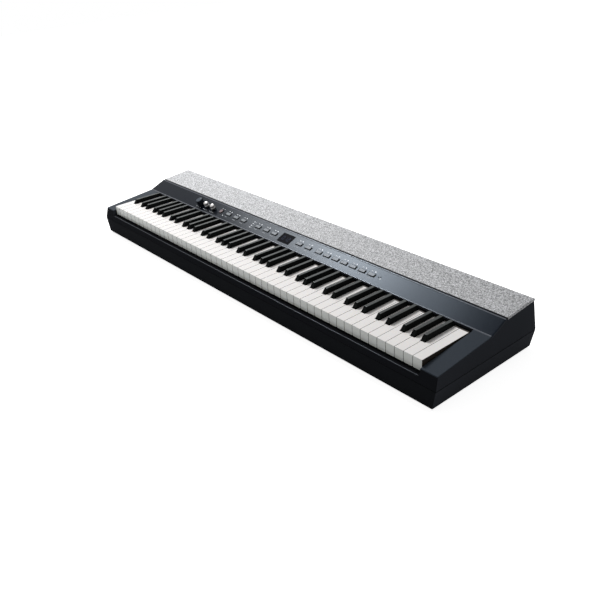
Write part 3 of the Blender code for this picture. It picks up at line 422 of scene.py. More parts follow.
# A darker, greener copy of the white key plastic for the key fronts: painted shade.
KEY_FRONT_SHADE = key_white("key_front", (0.81, 0.833, 0.80), (0.83, 0.853, 0.82))
KEY_CORE_AND_SIDE_SHADE = key_core()
KEY_BLACK = key_black("key_black", 0.32, 0.38, (0.013, 0.0145, 0.0145))
# A darker, duller copy of the sharps' black for their sides: painted shade.
KEY_BLACK_SIDE_SHADE = key_black("key_black_side", 0.05, 0.55, (0.003, 0.0035, 0.0035))
CLOTH = speaker_cloth()
CHROME = plated("bright_plating", (0.52, 0.51, 0.50), 0.3)
STEEL = plated("screw_steel", (0.42, 0.42, 0.44), 0.32)
BRASS = plated("socket_brass", (0.72, 0.52, 0.24), 0.28)
WINDOW = window()
SEGMENT = glow("display_segment", (0.04, 0.05, 0.085), 0.15, 0.01)
LAMP = glow("lamp_lens", (0.70, 0.74, 0.78), 0.3)
PRINT = ink("panel_print", (0.74, 0.77, 0.80))
FAINT_PRINT = ink("panel_faint_print", (0.27, 0.29, 0.32))
BOARD = circuit_board()
FELT = felt("key_felt", (0.02, 0.02, 0.022))
# Near-black felt on the cloth's front skirt: painted shade in the groove between panel and cloth.
CLOTH_EDGE_SHADE = felt("cloth_binding", (0.022, 0.024, 0.028))
RUBBER = rubber()
SPEAKER = speaker_black()


# Meshes

def piece(name, shape, materials, body, slot=None, smooth=35):
    """A finished piece from a bmesh, riding on a body."""
    mesh = bpy.data.meshes.new(name)
    shape.to_mesh(mesh)
    shape.free()
    for material in materials:
        mesh.materials.append(material)
    mesh.shade_smooth()
    mesh.set_sharp_from_angle(angle=math.radians(smooth))
    made = bpy.data.objects.new(name, mesh)
    bpy.context.scene.collection.objects.link(made)
    flat = made.modifiers.new("flat_faces", "WEIGHTED_NORMAL")
    flat.keep_sharp = True
    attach(made, body)
    return made


def edges_over(shape, degrees):
    limit = math.radians(degrees)
    return [e for e in shape.edges if e.is_manifold and e.calc_face_angle(0) > limit]


def soften(shape, edges, width, segments=2):
    bmesh.ops.bevel(shape, geom=edges, offset=width, offset_type="OFFSET", segments=segments,
                    profile=0.5, affect="EDGES", clamp_overlap=True)


def raised(outline, low, high):
    """A bmesh of a plan outline between two heights."""
    shape = bmesh.new()
    face = shape.faces.new([shape.verts.new((x, y, low)) for x, y in outline])
    pushed = bmesh.ops.extrude_face_region(shape, geom=[face])
    bmesh.ops.translate(shape, vec=(0, 0, high - low),
                        verts=[v for v in pushed["geom"] if isinstance(v, bmesh.types.BMVert)])
    bmesh.ops.recalc_face_normals(shape, faces=shape.faces)
    return shape


def merge(shape, other):
    """Adds other's faces to shape."""
    mesh = bpy.data.meshes.new("merge")
    other.to_mesh(mesh)
    other.free()
    shape.from_mesh(mesh)
    bpy.data.meshes.remove(mesh)
    return shape


def turned(profile, steps, centre=(0, 0)):
    """A bmesh of revolution about Z; the profile starts and ends on the axis."""
    shape = bmesh.new()
    points = [shape.verts.new((radius + centre[0], centre[1], height)) for radius, height in profile]
    edges = [shape.edges.new(pair) for pair in zip(points, points[1:])]
    bmesh.ops.spin(shape, geom=points + edges, cent=(*centre, 0), axis=(0, 0, 1), angle=math.tau,
                   steps=steps, use_merge=True)
    bmesh.ops.remove_doubles(shape, verts=shape.verts, dist=1e-6)
    bmesh.ops.recalc_face_normals(shape, faces=shape.faces)
    return shape


def rounded_copy(node, name, material, width, body="case", over=50):
    """A copy of a CAD node with its flat faces whole and its sharp edges rounded; it replaces the node."""
    shape = bmesh.new()
    shape.from_mesh(NODES[node].data)
    bmesh.ops.remove_doubles(shape, verts=shape.verts, dist=1e-6)
    bmesh.ops.dissolve_limit(shape, angle_limit=math.radians(0.3), verts=shape.verts, edges=shape.edges)
    soften(shape, edges_over(shape, over), width)
    made = piece(name, shape, [material], body, NODES_SLOT[node])
    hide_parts(node)
    return made


NODES_SLOT = {row["node"]: row["material_slot"] for row in RECORD["subparts"]}


# Keys

KEYS_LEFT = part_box("white_keys_dfa_1")[0].x - KEY_CREVICE / 2
KEYS_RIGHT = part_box("white_keys_cegb_7")[1].x + KEY_CREVICE / 2
KEY_PITCH = (KEYS_RIGHT - KEYS_LEFT) / WHITE_KEYS
KEY_FRONT_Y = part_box("white_keys_cegb_1")[0].y
KEY_TOP_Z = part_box("white_keys_cegb_1")[1].z
SHARP_FRONT_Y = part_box("black_keys_1")[0].y


def octave_left(octave):
    return KEYS_LEFT + KEY_PITCH * (2 + 7 * octave)


def sharp_rows(octave):
    """The two rows of sharps of an octave, as first middle, spacing and count."""
    narrow, wide = 3 * KEY_PITCH / 5, 4 * KEY_PITCH / 7
    left = octave_left(octave)
    return [(left + 1.5 * narrow, 2 * narrow, 2), (left + 3 * KEY_PITCH + 1.5 * wide, 2 * wide, 3)]


def sharp_middles():
    found = [sharp_rows(-1)[1][0] + 2 * sharp_rows(-1)[1][1]]
    for octave in range(OCTAVES):
        for first, spacing, count in sharp_rows(octave):
            found += [first + spacing * number for number in range(count)]
    return found


def key_body(index):
    """The body that the white key of this number rides on."""
    degree, octave = (index - 2) % 7, (index - 2) // 7
    kind = "dfa" if degree in (1, 3, 5) else "cegb"
    return f"white_keys_{kind}_{min(max(octave + 1, 1), OCTAVES)}"


def white_outline(index, sharps):
    """A white key in plan, anticlockwise from its front left corner."""
    left = KEYS_LEFT + KEY_PITCH * index + KEY_CREVICE / 2
    right = left + KEY_PITCH - KEY_CREVICE
    slot = SHARP_BASE_WIDTH / 2 + SHARP_CREVICE
    near = KEY_PITCH / 2
    tail_left = max([left] + [middle + slot for middle in sharps if abs(middle - left) < near])
    tail_right = min([right] + [middle - slot for middle in sharps if abs(middle - right) < near])
    front, rear = KEY_FRONT_Y, KEY_FRONT_Y + WHITE_LENGTH
    head, lip = front + HEAD_LENGTH, front + KEY_LIP
    points = [(left, front), (right, front), (right, lip)]
    if tail_right < right:
        points += [(right, head), (tail_right, head)]
    points += [(tail_right, rear), (tail_left, rear)]
    if tail_left > left:
        points += [(tail_left, head), (left, head)]
    return points + [(left, lip)]


def make_white_key(index, sharps):
    """One white key: a cap with a lip down its front, on a dark core; its side walls take the core's dark finish as
    painted shade, and its front a darker, greener copy of the white as painted shade.
    """
    outline = white_outline(index, sharps)
    shape = raised(outline, KEY_TOP_Z - KEY_PLATE, KEY_TOP_Z)
    under = min(shape.faces, key=lambda face: face.calc_center_median().z)
    low = [v for v in under.verts if v.co.y < KEY_FRONT_Y + KEY_LIP + 1e-5]
    back = [v for v in low if v.co.y > KEY_FRONT_Y + 1e-5]
    bmesh.ops.connect_verts(shape, verts=back)
    strip = next(f for f in shape.faces if len(f.verts) == 4 and set(f.verts) == set(low))
    pushed = bmesh.ops.extrude_face_region(shape, geom=[strip])
    bmesh.ops.translate(shape, vec=(0, 0, KEY_PLATE - KEY_FRONT_HEIGHT),
                        verts=[v for v in pushed["geom"] if isinstance(v, bmesh.types.BMVert)])
    bmesh.ops.delete(shape, geom=[strip], context="FACES_ONLY")
    sides = [e for e in shape.edges if e.is_manifold and abs(e.verts[0].co.z - e.verts[1].co.z) < 1e-6
             and abs(e.verts[0].co.z - (KEY_TOP_Z - KEY_PLATE)) < 1e-5 and e.calc_face_angle(0) < 0.01]
    bmesh.ops.dissolve_edges(shape, edges=sides, use_verts=True)
    bmesh.ops.recalc_face_normals(shape, faces=shape.faces)
    foot = KEY_TOP_Z - KEY_FRONT_HEIGHT
    low_corners = [e for e in shape.edges if all(abs(v.co.z - foot) < 1e-5 for v in e.verts)
                   and abs(e.verts[0].co.x - e.verts[1].co.x) < 1e-6]
    soften(shape, low_corners, KEY_LOW_CORNER, 4)
    upright = [e for e in edges_over(shape, 50) if all(abs(v.co.y - KEY_FRONT_Y) < 1e-5 for v in e.verts)
               and abs(e.verts[0].co.x - e.verts[1].co.x) < 1e-6]
    soften(shape, upright, KEY_FRONT_CORNER, 3)
    soften(shape, edges_over(shape, 50), KEY_EDGE, 2)
    level = KEY_TOP_Z - KEY_CAP
    bmesh.ops.bisect_plane(shape, geom=shape.verts[:] + shape.edges[:] + shape.faces[:],
                           plane_co=(0, 0, level), plane_no=(0, 0, 1))
    for face in shape.faces:
        middle = face.calc_center_median()
        behind_lip = middle.y > KEY_FRONT_Y + KEY_LIP * 0.8
        # The side walls take the dark core finish as painted shade in the crevices between keys; faces below the cap
        # behind the lip are the real core.
        hidden = middle.z < level and behind_lip or abs(face.normal.x) > 0.9
        # The front faces take the darker, greener copy of the white as painted shade.
        face.material_index = 1 if hidden else 2 * int(face.normal.y < -0.7)
    finishes = [KEY_WHITE, KEY_CORE_AND_SIDE_SHADE, KEY_FRONT_SHADE]
    made = piece(f"white_key_{index + 1:02d}", shape, finishes, key_body(index), "key_white")
    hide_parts(key_body(index))
    return made


def make_levers(node, rear, material, slot):
    """The levers and pivot strip of a key set, which carry its keys behind the opening."""
    shape = bmesh.new()
    shape.from_mesh(NODES[node].data)
    bmesh.ops.remove_doubles(shape, verts=shape.verts, dist=1e-6)
    bmesh.ops.bisect_plane(shape, geom=shape.verts[:] + shape.edges[:] + shape.faces[:],
                           plane_co=(0, rear, 0), plane_no=(0, -1, 0), clear_outer=True)
    open_edges = [e for e in shape.edges if e.is_boundary]
    bmesh.ops.holes_fill(shape, edges=open_edges, sides=0)
    made = piece(node + "_levers", shape, [material], node, slot)
    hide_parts(node)
    return made


# Geometry trees

class Pattern(Graph):
    """A geometry tree with named inputs, which repeats a shape and ends in plain faces of one material."""

    def __init__(self, name, sizes):
        tree = bpy.data.node_groups.new(name, "GeometryNodeTree")
        super().__init__(tree)
        self.places = {}
        for label, (kind, value) in sizes.items():
            socket = tree.interface.new_socket(label, in_out="INPUT", socket_type=kind)
            self.places[label] = (socket.identifier, value)
        tree.interface.new_socket("Geometry", in_out="OUTPUT", socket_type="NodeSocketGeometry")
        self.given = tree.nodes.new("NodeGroupInput")

    def size(self, label):
        return Signal(self, self.given.outputs[label])

    def end(self, geometry, material):
        real = self.node("GeometryNodeRealizeInstances", None, [geometry])
        painted = self.node("GeometryNodeSetMaterial", None, {"Geometry": real, "Material": material})
        end = self.tree.nodes.new("NodeGroupOutput")
        self.tree.links.new(painted.socket, end.inputs["Geometry"])

    def grow(self, name, base=None):
        """The pattern as a bmesh, on a base mesh if it starts from one."""
        holder = bpy.data.objects.new(name, base or bpy.data.meshes.new(name))
        bpy.context.scene.collection.objects.link(holder)
        modifier = holder.modifiers.new("pattern", "NODES")
        modifier.node_group = self.tree
        for identifier, value in self.places.values():
            if value is not None:
                modifier[identifier] = value
        bpy.context.view_layer.update()
        graph = bpy.context.evaluated_depsgraph_get()
        flat = bpy.data.meshes.new_from_object(holder.evaluated_get(graph))
        bpy.data.objects.remove(holder, do_unlink=True)
        shape = bmesh.new()
        shape.from_mesh(flat)
        bpy.data.meshes.remove(flat)
        return shape


def row_of_sharps(master, first, spacing, count):
    """A row of equal sharps along X, grown by a geometry tree from one modelled sharp."""
    tree = Pattern("sharp_row", {"First": ("NodeSocketFloat", first), "Spacing": ("NodeSocketFloat", spacing),
                                 "Count": ("NodeSocketInt", count), "Sharp": ("NodeSocketObject", master)})
    line = tree.node("GeometryNodeMeshLine", None,
                     {"Count": tree.size("Count"), "Start Location": tree.join(tree.size("First"), 0.0),
                      "Offset": tree.join(tree.size("Spacing"), 0.0)})
    sharp = tree.node("GeometryNodeObjectInfo", None, {"Object": tree.size("Sharp")}, 4)
    rows = tree.node("GeometryNodeInstanceOnPoints", None, {"Points": line, "Instance": sharp})
    tree.end(rows, KEY_BLACK)
    return tree.grow("sharp_row")


def sharp_master():
    """One sharp at X = 0: narrower on top, with a long slope in front."""
    shape = bmesh.new()
    front, rear = SHARP_FRONT_Y, SHARP_FRONT_Y + SHARP_LENGTH
    low, crest = KEY_TOP_Z - SHARP_DEPTH, KEY_TOP_Z + SHARP_HEIGHT
    base, top = SHARP_BASE_WIDTH / 2, SHARP_TOP_WIDTH / 2

    def half(z):
        return base - (base - top) * max(0, z - KEY_TOP_Z) / SHARP_HEIGHT

    rings = [(front, low), (front, KEY_TOP_Z), (front, KEY_TOP_Z + SHARP_NOSE),
             (front + SHARP_SLOPE, crest), (rear, crest - SHARP_REAR_DROP), (rear, KEY_TOP_Z), (rear, low)]
    sides = [[shape.verts.new((sign * half(z), y, z)) for y, z in rings] for sign in (-1, 1)]
    shape.faces.new(sides[0])
    shape.faces.new(sides[1][::-1])
    for i in range(len(rings)):
        j = (i + 1) % len(rings)
        shape.faces.new((sides[0][i], sides[1][i], sides[1][j], sides[0][j]))
    bmesh.ops.recalc_face_normals(shape, faces=shape.faces)
    upper = [e for e in edges_over(shape, 25) if min(v.co.z for v in e.verts) > KEY_TOP_Z + SHARP_NOSE / 2]
    soften(shape, upper, SHARP_EDGE, 3)
    mesh = bpy.data.meshes.new("sharp_master")
    shape.to_mesh(mesh)
    shape.free()
    made = bpy.data.objects.new("sharp_master", mesh)
    bpy.context.scene.collection.objects.link(made)
    return made


def make_sharps():
    master = sharp_master()
    for octave in range(OCTAVES):
        node = f"black_keys_{octave + 1}"
        rows = sharp_rows(octave)
        if octave == 0:
            rows.insert(0, (sharp_middles()[0], 0.0, 1))
        shape = bmesh.new()
        for row in rows:
            merge(shape, row_of_sharps(master, *row))
        for face in shape.faces:
            # The sides take the darker copy of the black as painted shade.
            face.material_index = int(face.normal.z < 0.8)
        made = piece(node + "_tops", shape, [KEY_BLACK, KEY_BLACK_SIDE_SHADE], node, "key_black")
        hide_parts(node)
        make_levers(node, SHARP_FRONT_Y + SHARP_LENGTH, KEY_BLACK, "key_black")
    bpy.data.objects.remove(master, do_unlink=True)


def make_whites():
    sharps = sharp_middles()
    for index in range(WHITE_KEYS):
        make_white_key(index, sharps)
    for kind in ("cegb", "dfa"):
        for octave in range(OCTAVES):
            make_levers(f"white_keys_{kind}_{octave + 1}", KEY_FRONT_Y + WHITE_LENGTH, KEY_CORE_AND_SIDE_SHADE, "key_white")


# Case

def make_case():
    tray = rounded_copy("bottom_case", "bottom_shell", CASE_BLACK, 0.5 * MM)
    shell = rounded_copy("top_case", "top_shell", CASE_BLUE, 0.6 * MM)
    for half, front in ((tray, CASE_BLACK), (shell, CASE_FRONT_SHADE)):
        half.data.materials.append(front)
        half.data.materials.append(CASE_SIDE_LIGHT)
        for face in half.data.polygons:
            # Upright and low faces take the front copy, darker on the top shell as painted shade; the ends take the
            # lighter side copy as painted light.
            dark = abs(face.normal.z) < 0.45 or face.center.z < KEY_TOP_Z - KEY_FRONT_HEIGHT
            face.material_index = dark + (dark and abs(face.normal.x) > 0.9)
    rounded_copy("control_panel", "panel_plate", PANEL_BLUE, 0.3 * MM)
    rounded_copy("display_window", "window_plate", WINDOW, 0.25 * MM)
    rounded_copy("socket_plate", "rear_socket_plate", CASE_BLACK, 0.3 * MM)
    for name in ("front_left", "front_right", "rear_left", "rear_right"):
        NODES["foot_" + name].data.materials.clear()
        NODES["foot_" + name].data.materials.append(RUBBER)


def bead(name, radius, reach, y, z, slope, node):
    """A flattened light bead along X, with round ends, which lies on a slope of a CAD node; its light grey is a
    painted highlight standing for an edge that catches the light.
    """
    profile = [(radius * math.cos(t), sign * (reach - radius + radius * abs(math.sin(t))))
               for sign, angles in ((1, (90, 60, 30, 0)), (-1, (0, 30, 60, 90)))
               for t in (math.radians(angle) for angle in angles)]
    profile[0], profile[-1] = (0, reach), (0, -reach)
    shape = turned(profile, 12)
    place = Matrix.Translation((0, y, z)) @ Matrix.Rotation(slope, 4, "X")
    flatten = Matrix.Diagonal((1, 1, 0.2, 1)) @ Matrix.Rotation(math.pi / 2, 4, "Y")
    bmesh.ops.transform(shape, matrix=place @ flatten, verts=shape.verts)
    bmesh.ops.recalc_face_normals(shape, faces=shape.faces)
    piece(name, shape, [HIGHLIGHT_BEAD_GREY], "case", NODES_SLOT[node])


def make_trim():
    """Light beads along the panel's edges and the front rail as painted highlights, and a black strip on the ledge
    behind the keys as painted shade.
    """
    bend = [v.co for v in NODES["control_panel"].data.vertices]
    front = min(v.y for v in bend)
    height = max(v.z for v in bend if v.y < front + 0.5 * MM)
    reach = max(v.x for v in bend if v.y < front + 3 * MM) - 1.2 * MM
    slope = math.atan2(UPHILL.z, UPHILL.y)
    # Each bead's light grey is a painted highlight along the edge it follows.
    bead("panel_front_bead", 1.9 * MM, reach, front + 1.2 * MM, height + 0.5 * MM, slope, "control_panel")
    crest = max(bend, key=lambda v: v.z)
    bead("panel_rear_bead", 1.5 * MM, reach, crest.y - 2.1 * MM, crest.z - 0.8 * MM, slope, "control_panel")
    case = [v.co for v in NODES["top_case"].data.vertices]
    inner = KEYS_RIGHT + 1 * MM
    rail = min((v for v in case if abs(v.z - RAIL_TOP) < 0.5 * MM and abs(v.x) < inner + 4 * MM), key=lambda v: v.y)
    bead("rail_bead", 0.9 * MM, inner, rail.y + 1.4 * MM, RAIL_TOP, 0, "top_case")
    lip = max((v for v in case if abs(v.x) < inner + 4 * MM and v.y < front + 1 * MM), key=lambda v: v.z)
    near, far = lip.y + 0.2 * MM, front - 0.1 * MM
    # The black strip is painted shade in the gap behind the keys.
    strip = raised([(-inner, near), (inner, near), (inner, far), (-inner, far)], 0, 0.3 * MM)
    for v in strip.verts:
        v.co.z += lip.z + (height - lip.z) * (v.co.y - lip.y) / (front - lip.y)
    piece("ledge_strip", strip, [DEEP_BLACK_AND_SHADE], "case", NODES_SLOT["top_case"])


def paint_inside():
    """The hidden pieces keep their CAD shapes."""
    finishes = {"grille_frame": INNER, "display_module": INNER, "key_chassis": INNER, "control_board": BOARD,
                "main_board": BOARD, "socket_board": BOARD, "contact_board": BOARD, "speaker_left": SPEAKER,
                "speaker_right": SPEAKER, "key_felt": FELT}
    for node, material in finishes.items():
        NODES[node].data.materials.clear()
        NODES[node].data.materials.append(material)


# Controls

PRESS = Vector(next(j["axis"] for j in frame["joints"] if j["name"] == "button_02_press"))
NORMAL = -PRESS.normalized()
UPHILL = NORMAL.cross(Vector((1, 0, 0)))
UPHILL = UPHILL if UPHILL.y > 0 else -UPHILL


def middle(node):
    low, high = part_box(node)
    return (low + high) / 2


WINDOW_TOP = middle("display_window") + NORMAL * WINDOW_THICKNESS / 2


def panel_point(x, up=0.0, lift=0.0):
    """A point on the panel: across, up the slope from the controls' line, and above the surface."""
    return Vector((x, WINDOW_TOP.y, WINDOW_TOP.z)) + UPHILL * up + NORMAL * lift


def panel_matrix(x, up=0.0, lift=0.0):
    turn = Matrix((Vector((1, 0, 0)), UPHILL, NORMAL)).transposed().to_4x4()
    return Matrix.Translation(panel_point(x, up, lift)) @ turn


def make_buttons():
    """Caps with black sides as painted shade, and a thin black rim round each cap on the panel as painted shade in
    its gap.
    """
    for node in BUTTONS:
        material = BUTTON_ROSE if node == "button_01" else BUTTON_FACE
        cap = rounded_copy(node, node + "_cap", material, 0.25 * MM, node, 40)
        cap.data.materials.append(DEEP_BLACK_AND_SHADE)
        # Faces of the cap that do not face out of the panel take the black as painted shade.
        for face in cap.data.polygons:
            face.material_index = int(face.normal.dot(NORMAL) < 0.6)
    oblong = [node for node in BUTTONS if node != "button_01"]
    half = (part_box(oblong[0])[1].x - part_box(oblong[0])[0].x) / 2
    deep = BUTTON_DEPTH / 2
    rim, gap, lift = 1.2 * MM, 0.15 * MM, 2 * PRINT_LIFT
    xs = [middle(node).x for node in oblong]
    # The rims are black as painted shade in the gaps round the caps.
    spots("button_rims", [(x, side * (deep + gap + rim / 2)) for x in xs for side in (-1, 1)],
          0, lift, DEEP_BLACK_AND_SHADE, 2 * (half + gap + rim), rim)
    spots("button_rim_ends", [(x + side * (half + gap + rim / 2), 0) for x in xs for side in (-1, 1)],
          0, lift, DEEP_BLACK_AND_SHADE, rim, 2 * (deep + gap))
    low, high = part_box("button_01")
    near = (high.x - low.x) / 2 + gap
    ring = turned([(near, -lift), (near, lift / 2), (near + rim, lift / 2), (near + rim, -lift), (near, -lift)], 40)
    bmesh.ops.transform(ring, matrix=panel_matrix((low.x + high.x) / 2), verts=ring.verts)
    piece("round_button_rim", ring, [DEEP_BLACK_AND_SHADE], "case")


def knob_profile(node, radius, height, lift):
    top = lift + height
    if node == "volume_knob":
        return [(0, top - 0.35 * MM), (radius - 2.2 * MM, top - 0.35 * MM), (radius - 1.7 * MM, top),
                (radius - 0.9 * MM, top), (radius - 0.35 * MM, top - 0.45 * MM), (radius, lift + 1.6 * MM),
                (radius, lift + 0.3 * MM), (radius - 0.3 * MM, lift), (0, lift)]
    dome = [(radius * 0.95 * math.sin(t), top - 4.2 * MM * (1 - math.cos(t)))
            for t in (math.pi / 2 * k / 8 for k in range(9))]
    waist = lift + height * KNOB_WAIST
    return dome + [(radius * 0.95, waist + 3.4 * MM), (radius * 0.88, waist + 2.8 * MM),
                   (radius * 0.88, waist + 2.0 * MM), (radius * 0.98, waist + 1.5 * MM),
                   (radius * 0.98, waist + 0.4 * MM), (radius * 0.9, waist), (radius * 0.98, waist - 0.5 * MM),
                   (radius * 1.05, lift + 0.8 * MM), (radius * 1.05, lift), (0, lift)]


def knob_ribs(radius, low, high, count, thickness):
    """Grip ribs round a knob, grown by a geometry tree."""
    tree = Pattern("knob_ribs", {"Radius": ("NodeSocketFloat", radius), "Ribs": ("NodeSocketInt", count),
                                 "Thickness": ("NodeSocketFloat", thickness),
                                 "Height": ("NodeSocketFloat", high - low), "Middle": ("NodeSocketFloat", (low + high) / 2)})
    ring = tree.node("GeometryNodeMeshCircle", None, {"Vertices": tree.size("Ribs"), "Radius": tree.size("Radius")})
    rib = tree.node("GeometryNodeMeshCylinder", None,
                    {"Vertices": 6, "Radius": tree.size("Thickness"), "Depth": tree.size("Height")})
    row = tree.node("GeometryNodeInstanceOnPoints", None, {"Points": ring, "Instance": rib})
    raised_row = tree.node("GeometryNodeTransform", None,
                           {"Geometry": row, "Translation": tree.join(0.0, 0.0, tree.size("Middle"))})
    tree.end(raised_row, KNOB_BLACK)
    return tree.grow("knob_ribs")


def make_knobs():
    joints = {j["child"]: j for j in frame["joints"]}
    for node in KNOBS:
        pivot = Vector(joints[node]["pos_m"])
        place = panel_matrix(pivot.x, (pivot - WINDOW_TOP).dot(UPHILL))
        local = [place.inverted() @ v.co for v in NODES[node].data.vertices]
        lift, top = min(p.z for p in local), max(p.z for p in local)
        radius = max(math.hypot(p.x, p.y) for p in local)
        if node != "volume_knob":
            radius /= 1.05
        shape = turned(knob_profile(node, radius, top - lift, lift), 48)
        waist = lift + (top - lift) * KNOB_WAIST
        for face in shape.faces:
            spot = face.calc_center_median()
            if node == "volume_knob":
                face.material_index = int(spot.z > top - 0.5 * MM and math.hypot(spot.x, spot.y) < radius - 0.9 * MM)
            else:
                face.material_index = int(spot.z > waist)
        if node == "volume_knob":
            merge(shape, knob_ribs(radius - 0.15 * MM, lift + 2 * MM, top - 1.2 * MM, 36, 0.35 * MM))
        else:
            merge(shape, knob_ribs(radius * 0.99, lift + 0.8 * MM, waist - 0.8 * MM, 28, 0.35 * MM))
        pointer = raised([(-0.4 * MM, radius * 0.35), (0.4 * MM, radius * 0.35), (0.4 * MM, radius * 0.8),
                          (-0.4 * MM, radius * 0.8)], top - 0.4 * MM, top - 0.25 * MM)
        if node == "volume_knob":
            for face in pointer.faces:
                face.material_index = 2
            merge(shape, pointer)
        else:
            pointer.free()
        bmesh.ops.transform(shape, matrix=place, verts=shape.verts)
        caps = [KNOB_BLACK, KNOB_TOP, PRINT] if node == "volume_knob" else [KNOB_BLACK, CHROME, PRINT]
        made = piece(node + "_turned", shape, caps, node, NODES_SLOT[node])
        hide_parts(node)


def spots(name, places, radius, height, material, width=0.0, depth=0.0):
    """Small round or oblong prints or lenses on the panel, or black rims of painted shade, at (x, up) places, grown
    by a geometry tree.
    """
    base = bpy.data.meshes.new(name)
    base.from_pydata([(x, up, 0) for x, up in places], [], [])
    tree = Pattern(name, {"Places": ("NodeSocketGeometry", None), "Radius": ("NodeSocketFloat", radius),
                          "Height": ("NodeSocketFloat", height), "Width": ("NodeSocketFloat", width),
                          "Depth": ("NodeSocketFloat", depth)})
    points = tree.node("GeometryNodeMeshToPoints", None, {"Mesh": tree.size("Places")})
    if width:
        lens = tree.node("GeometryNodeMeshCube", None,
                         {"Size": tree.join(tree.size("Width"), tree.size("Depth"), tree.size("Height"))})
    else:
        lens = tree.node("GeometryNodeMeshCylinder", None, {"Vertices": 16, "Radius": tree.size("Radius"),
                                                            "Depth": tree.size("Height")})
    row = tree.node("GeometryNodeInstanceOnPoints", None, {"Points": points, "Instance": lens})
    tree.end(row, material)
    shape = tree.grow(name, base)
    bmesh.ops.transform(shape, matrix=panel_matrix(0), verts=shape.verts)
    return piece(name, shape, [material], "case")


def make_marks():
    xs = {node: middle(node).x for node in BUTTONS}
    above, below = 10.8 * MM, -10.4 * MM
    plain = [x for node, x in xs.items() if node != "button_01"]
    spots("button_lamps", [(x + 4 * MM, above) for x in plain], 1.6 * MM, 0.5 * MM, LAMP)
    spots("button_marks", [(x - 6 * MM, above) for x in plain], 0, 2 * PRINT_LIFT, PRINT, 5 * MM, 1.8 * MM)
    spots("button_marks_below", [(x - 2 * MM, below) for x in plain], 0, 2 * PRINT_LIFT, FAINT_PRINT,
          11 * MM, 1.5 * MM)
    power = xs["button_01"]
    spots("power_lamp", [(power + 18 * MM, below)], 1.5 * MM, 0.5 * MM, LAMP)
    spots("power_marks", [(power - 5 * MM, above), (power + 5 * MM, above)], 1.2 * MM, 2 * PRINT_LIFT, PRINT)
    column, levels = -146 * MM, [(number - 1.5) * 7 * MM for number in range(4)]
    spots("level_lamps", [(column, up) for up in levels], 1.7 * MM, 0.5 * MM, LAMP)
    spots("level_marks", [(column + 6 * MM, up) for up in levels], 0, 2 * PRINT_LIFT, FAINT_PRINT, 4 * MM, 1.8 * MM)
    spots("end_dots", [(331 * MM, 0.5 * MM), (336 * MM, 3 * MM)], 1.7 * MM, 0.3 * MM, DEEP_BLACK_AND_SHADE)
    spots("end_lamp", [(338.5 * MM, -2 * MM)], 1.3 * MM, 0.5 * MM, LAMP)
    joints = {j["child"]: j["pos_m"][0] for j in frame["joints"] if "pos_m" in j}
    ends = []
    for node, reach in zip(KNOBS, (16 * MM, 13 * MM, 13 * MM)):
        ends += [(joints[node] + side * reach * 0.6, -15 * MM) for side in (-1, 0, 1)]
    spots("knob_marks", ends, 1.1 * MM, 2 * PRINT_LIFT, PRINT)


# Which bars of a seven-bar digit are lit for each figure
BARS = {"0": "abcdef", "1": "bc", "2": "abged", "8": "abcdefg"}
BAR_PLACES = {"a": (0, 1, 0), "g": (0, 0, 0), "d": (0, -1, 0), "f": (-1, 0.5, 1), "b": (1, 0.5, 1),
              "e": (-1, -0.5, 1), "c": (1, -0.5, 1)}


def make_digits():
    """Three plain figures behind the window, drawn in bars."""
    shape = bmesh.new()
    digit_width, digit_height, thickness = 6 * MM, 12 * MM, 1.1 * MM
    for number, figure in enumerate("012"):
        for bar in BARS[figure]:
            across, up, upright = BAR_PLACES[bar]
            x = (number - 1) * 10.5 * MM + across * digit_width / 2
            y = up * digit_height / 2
            long_side = (digit_height / 2 if upright else digit_width) - thickness
            half_x, half_y = (thickness / 2, long_side / 2) if upright else (long_side / 2, thickness / 2)
            merge(shape, raised([(x - half_x, y - half_y), (x + half_x, y - half_y), (x + half_x, y + half_y),
                                 (x - half_x, y + half_y)], 0, PRINT_LIFT))
    bmesh.ops.transform(shape, matrix=panel_matrix(WINDOW_TOP.x), verts=shape.verts)
    piece("display_figures", shape, [SEGMENT], "case", "window_black")


# Grille cloth

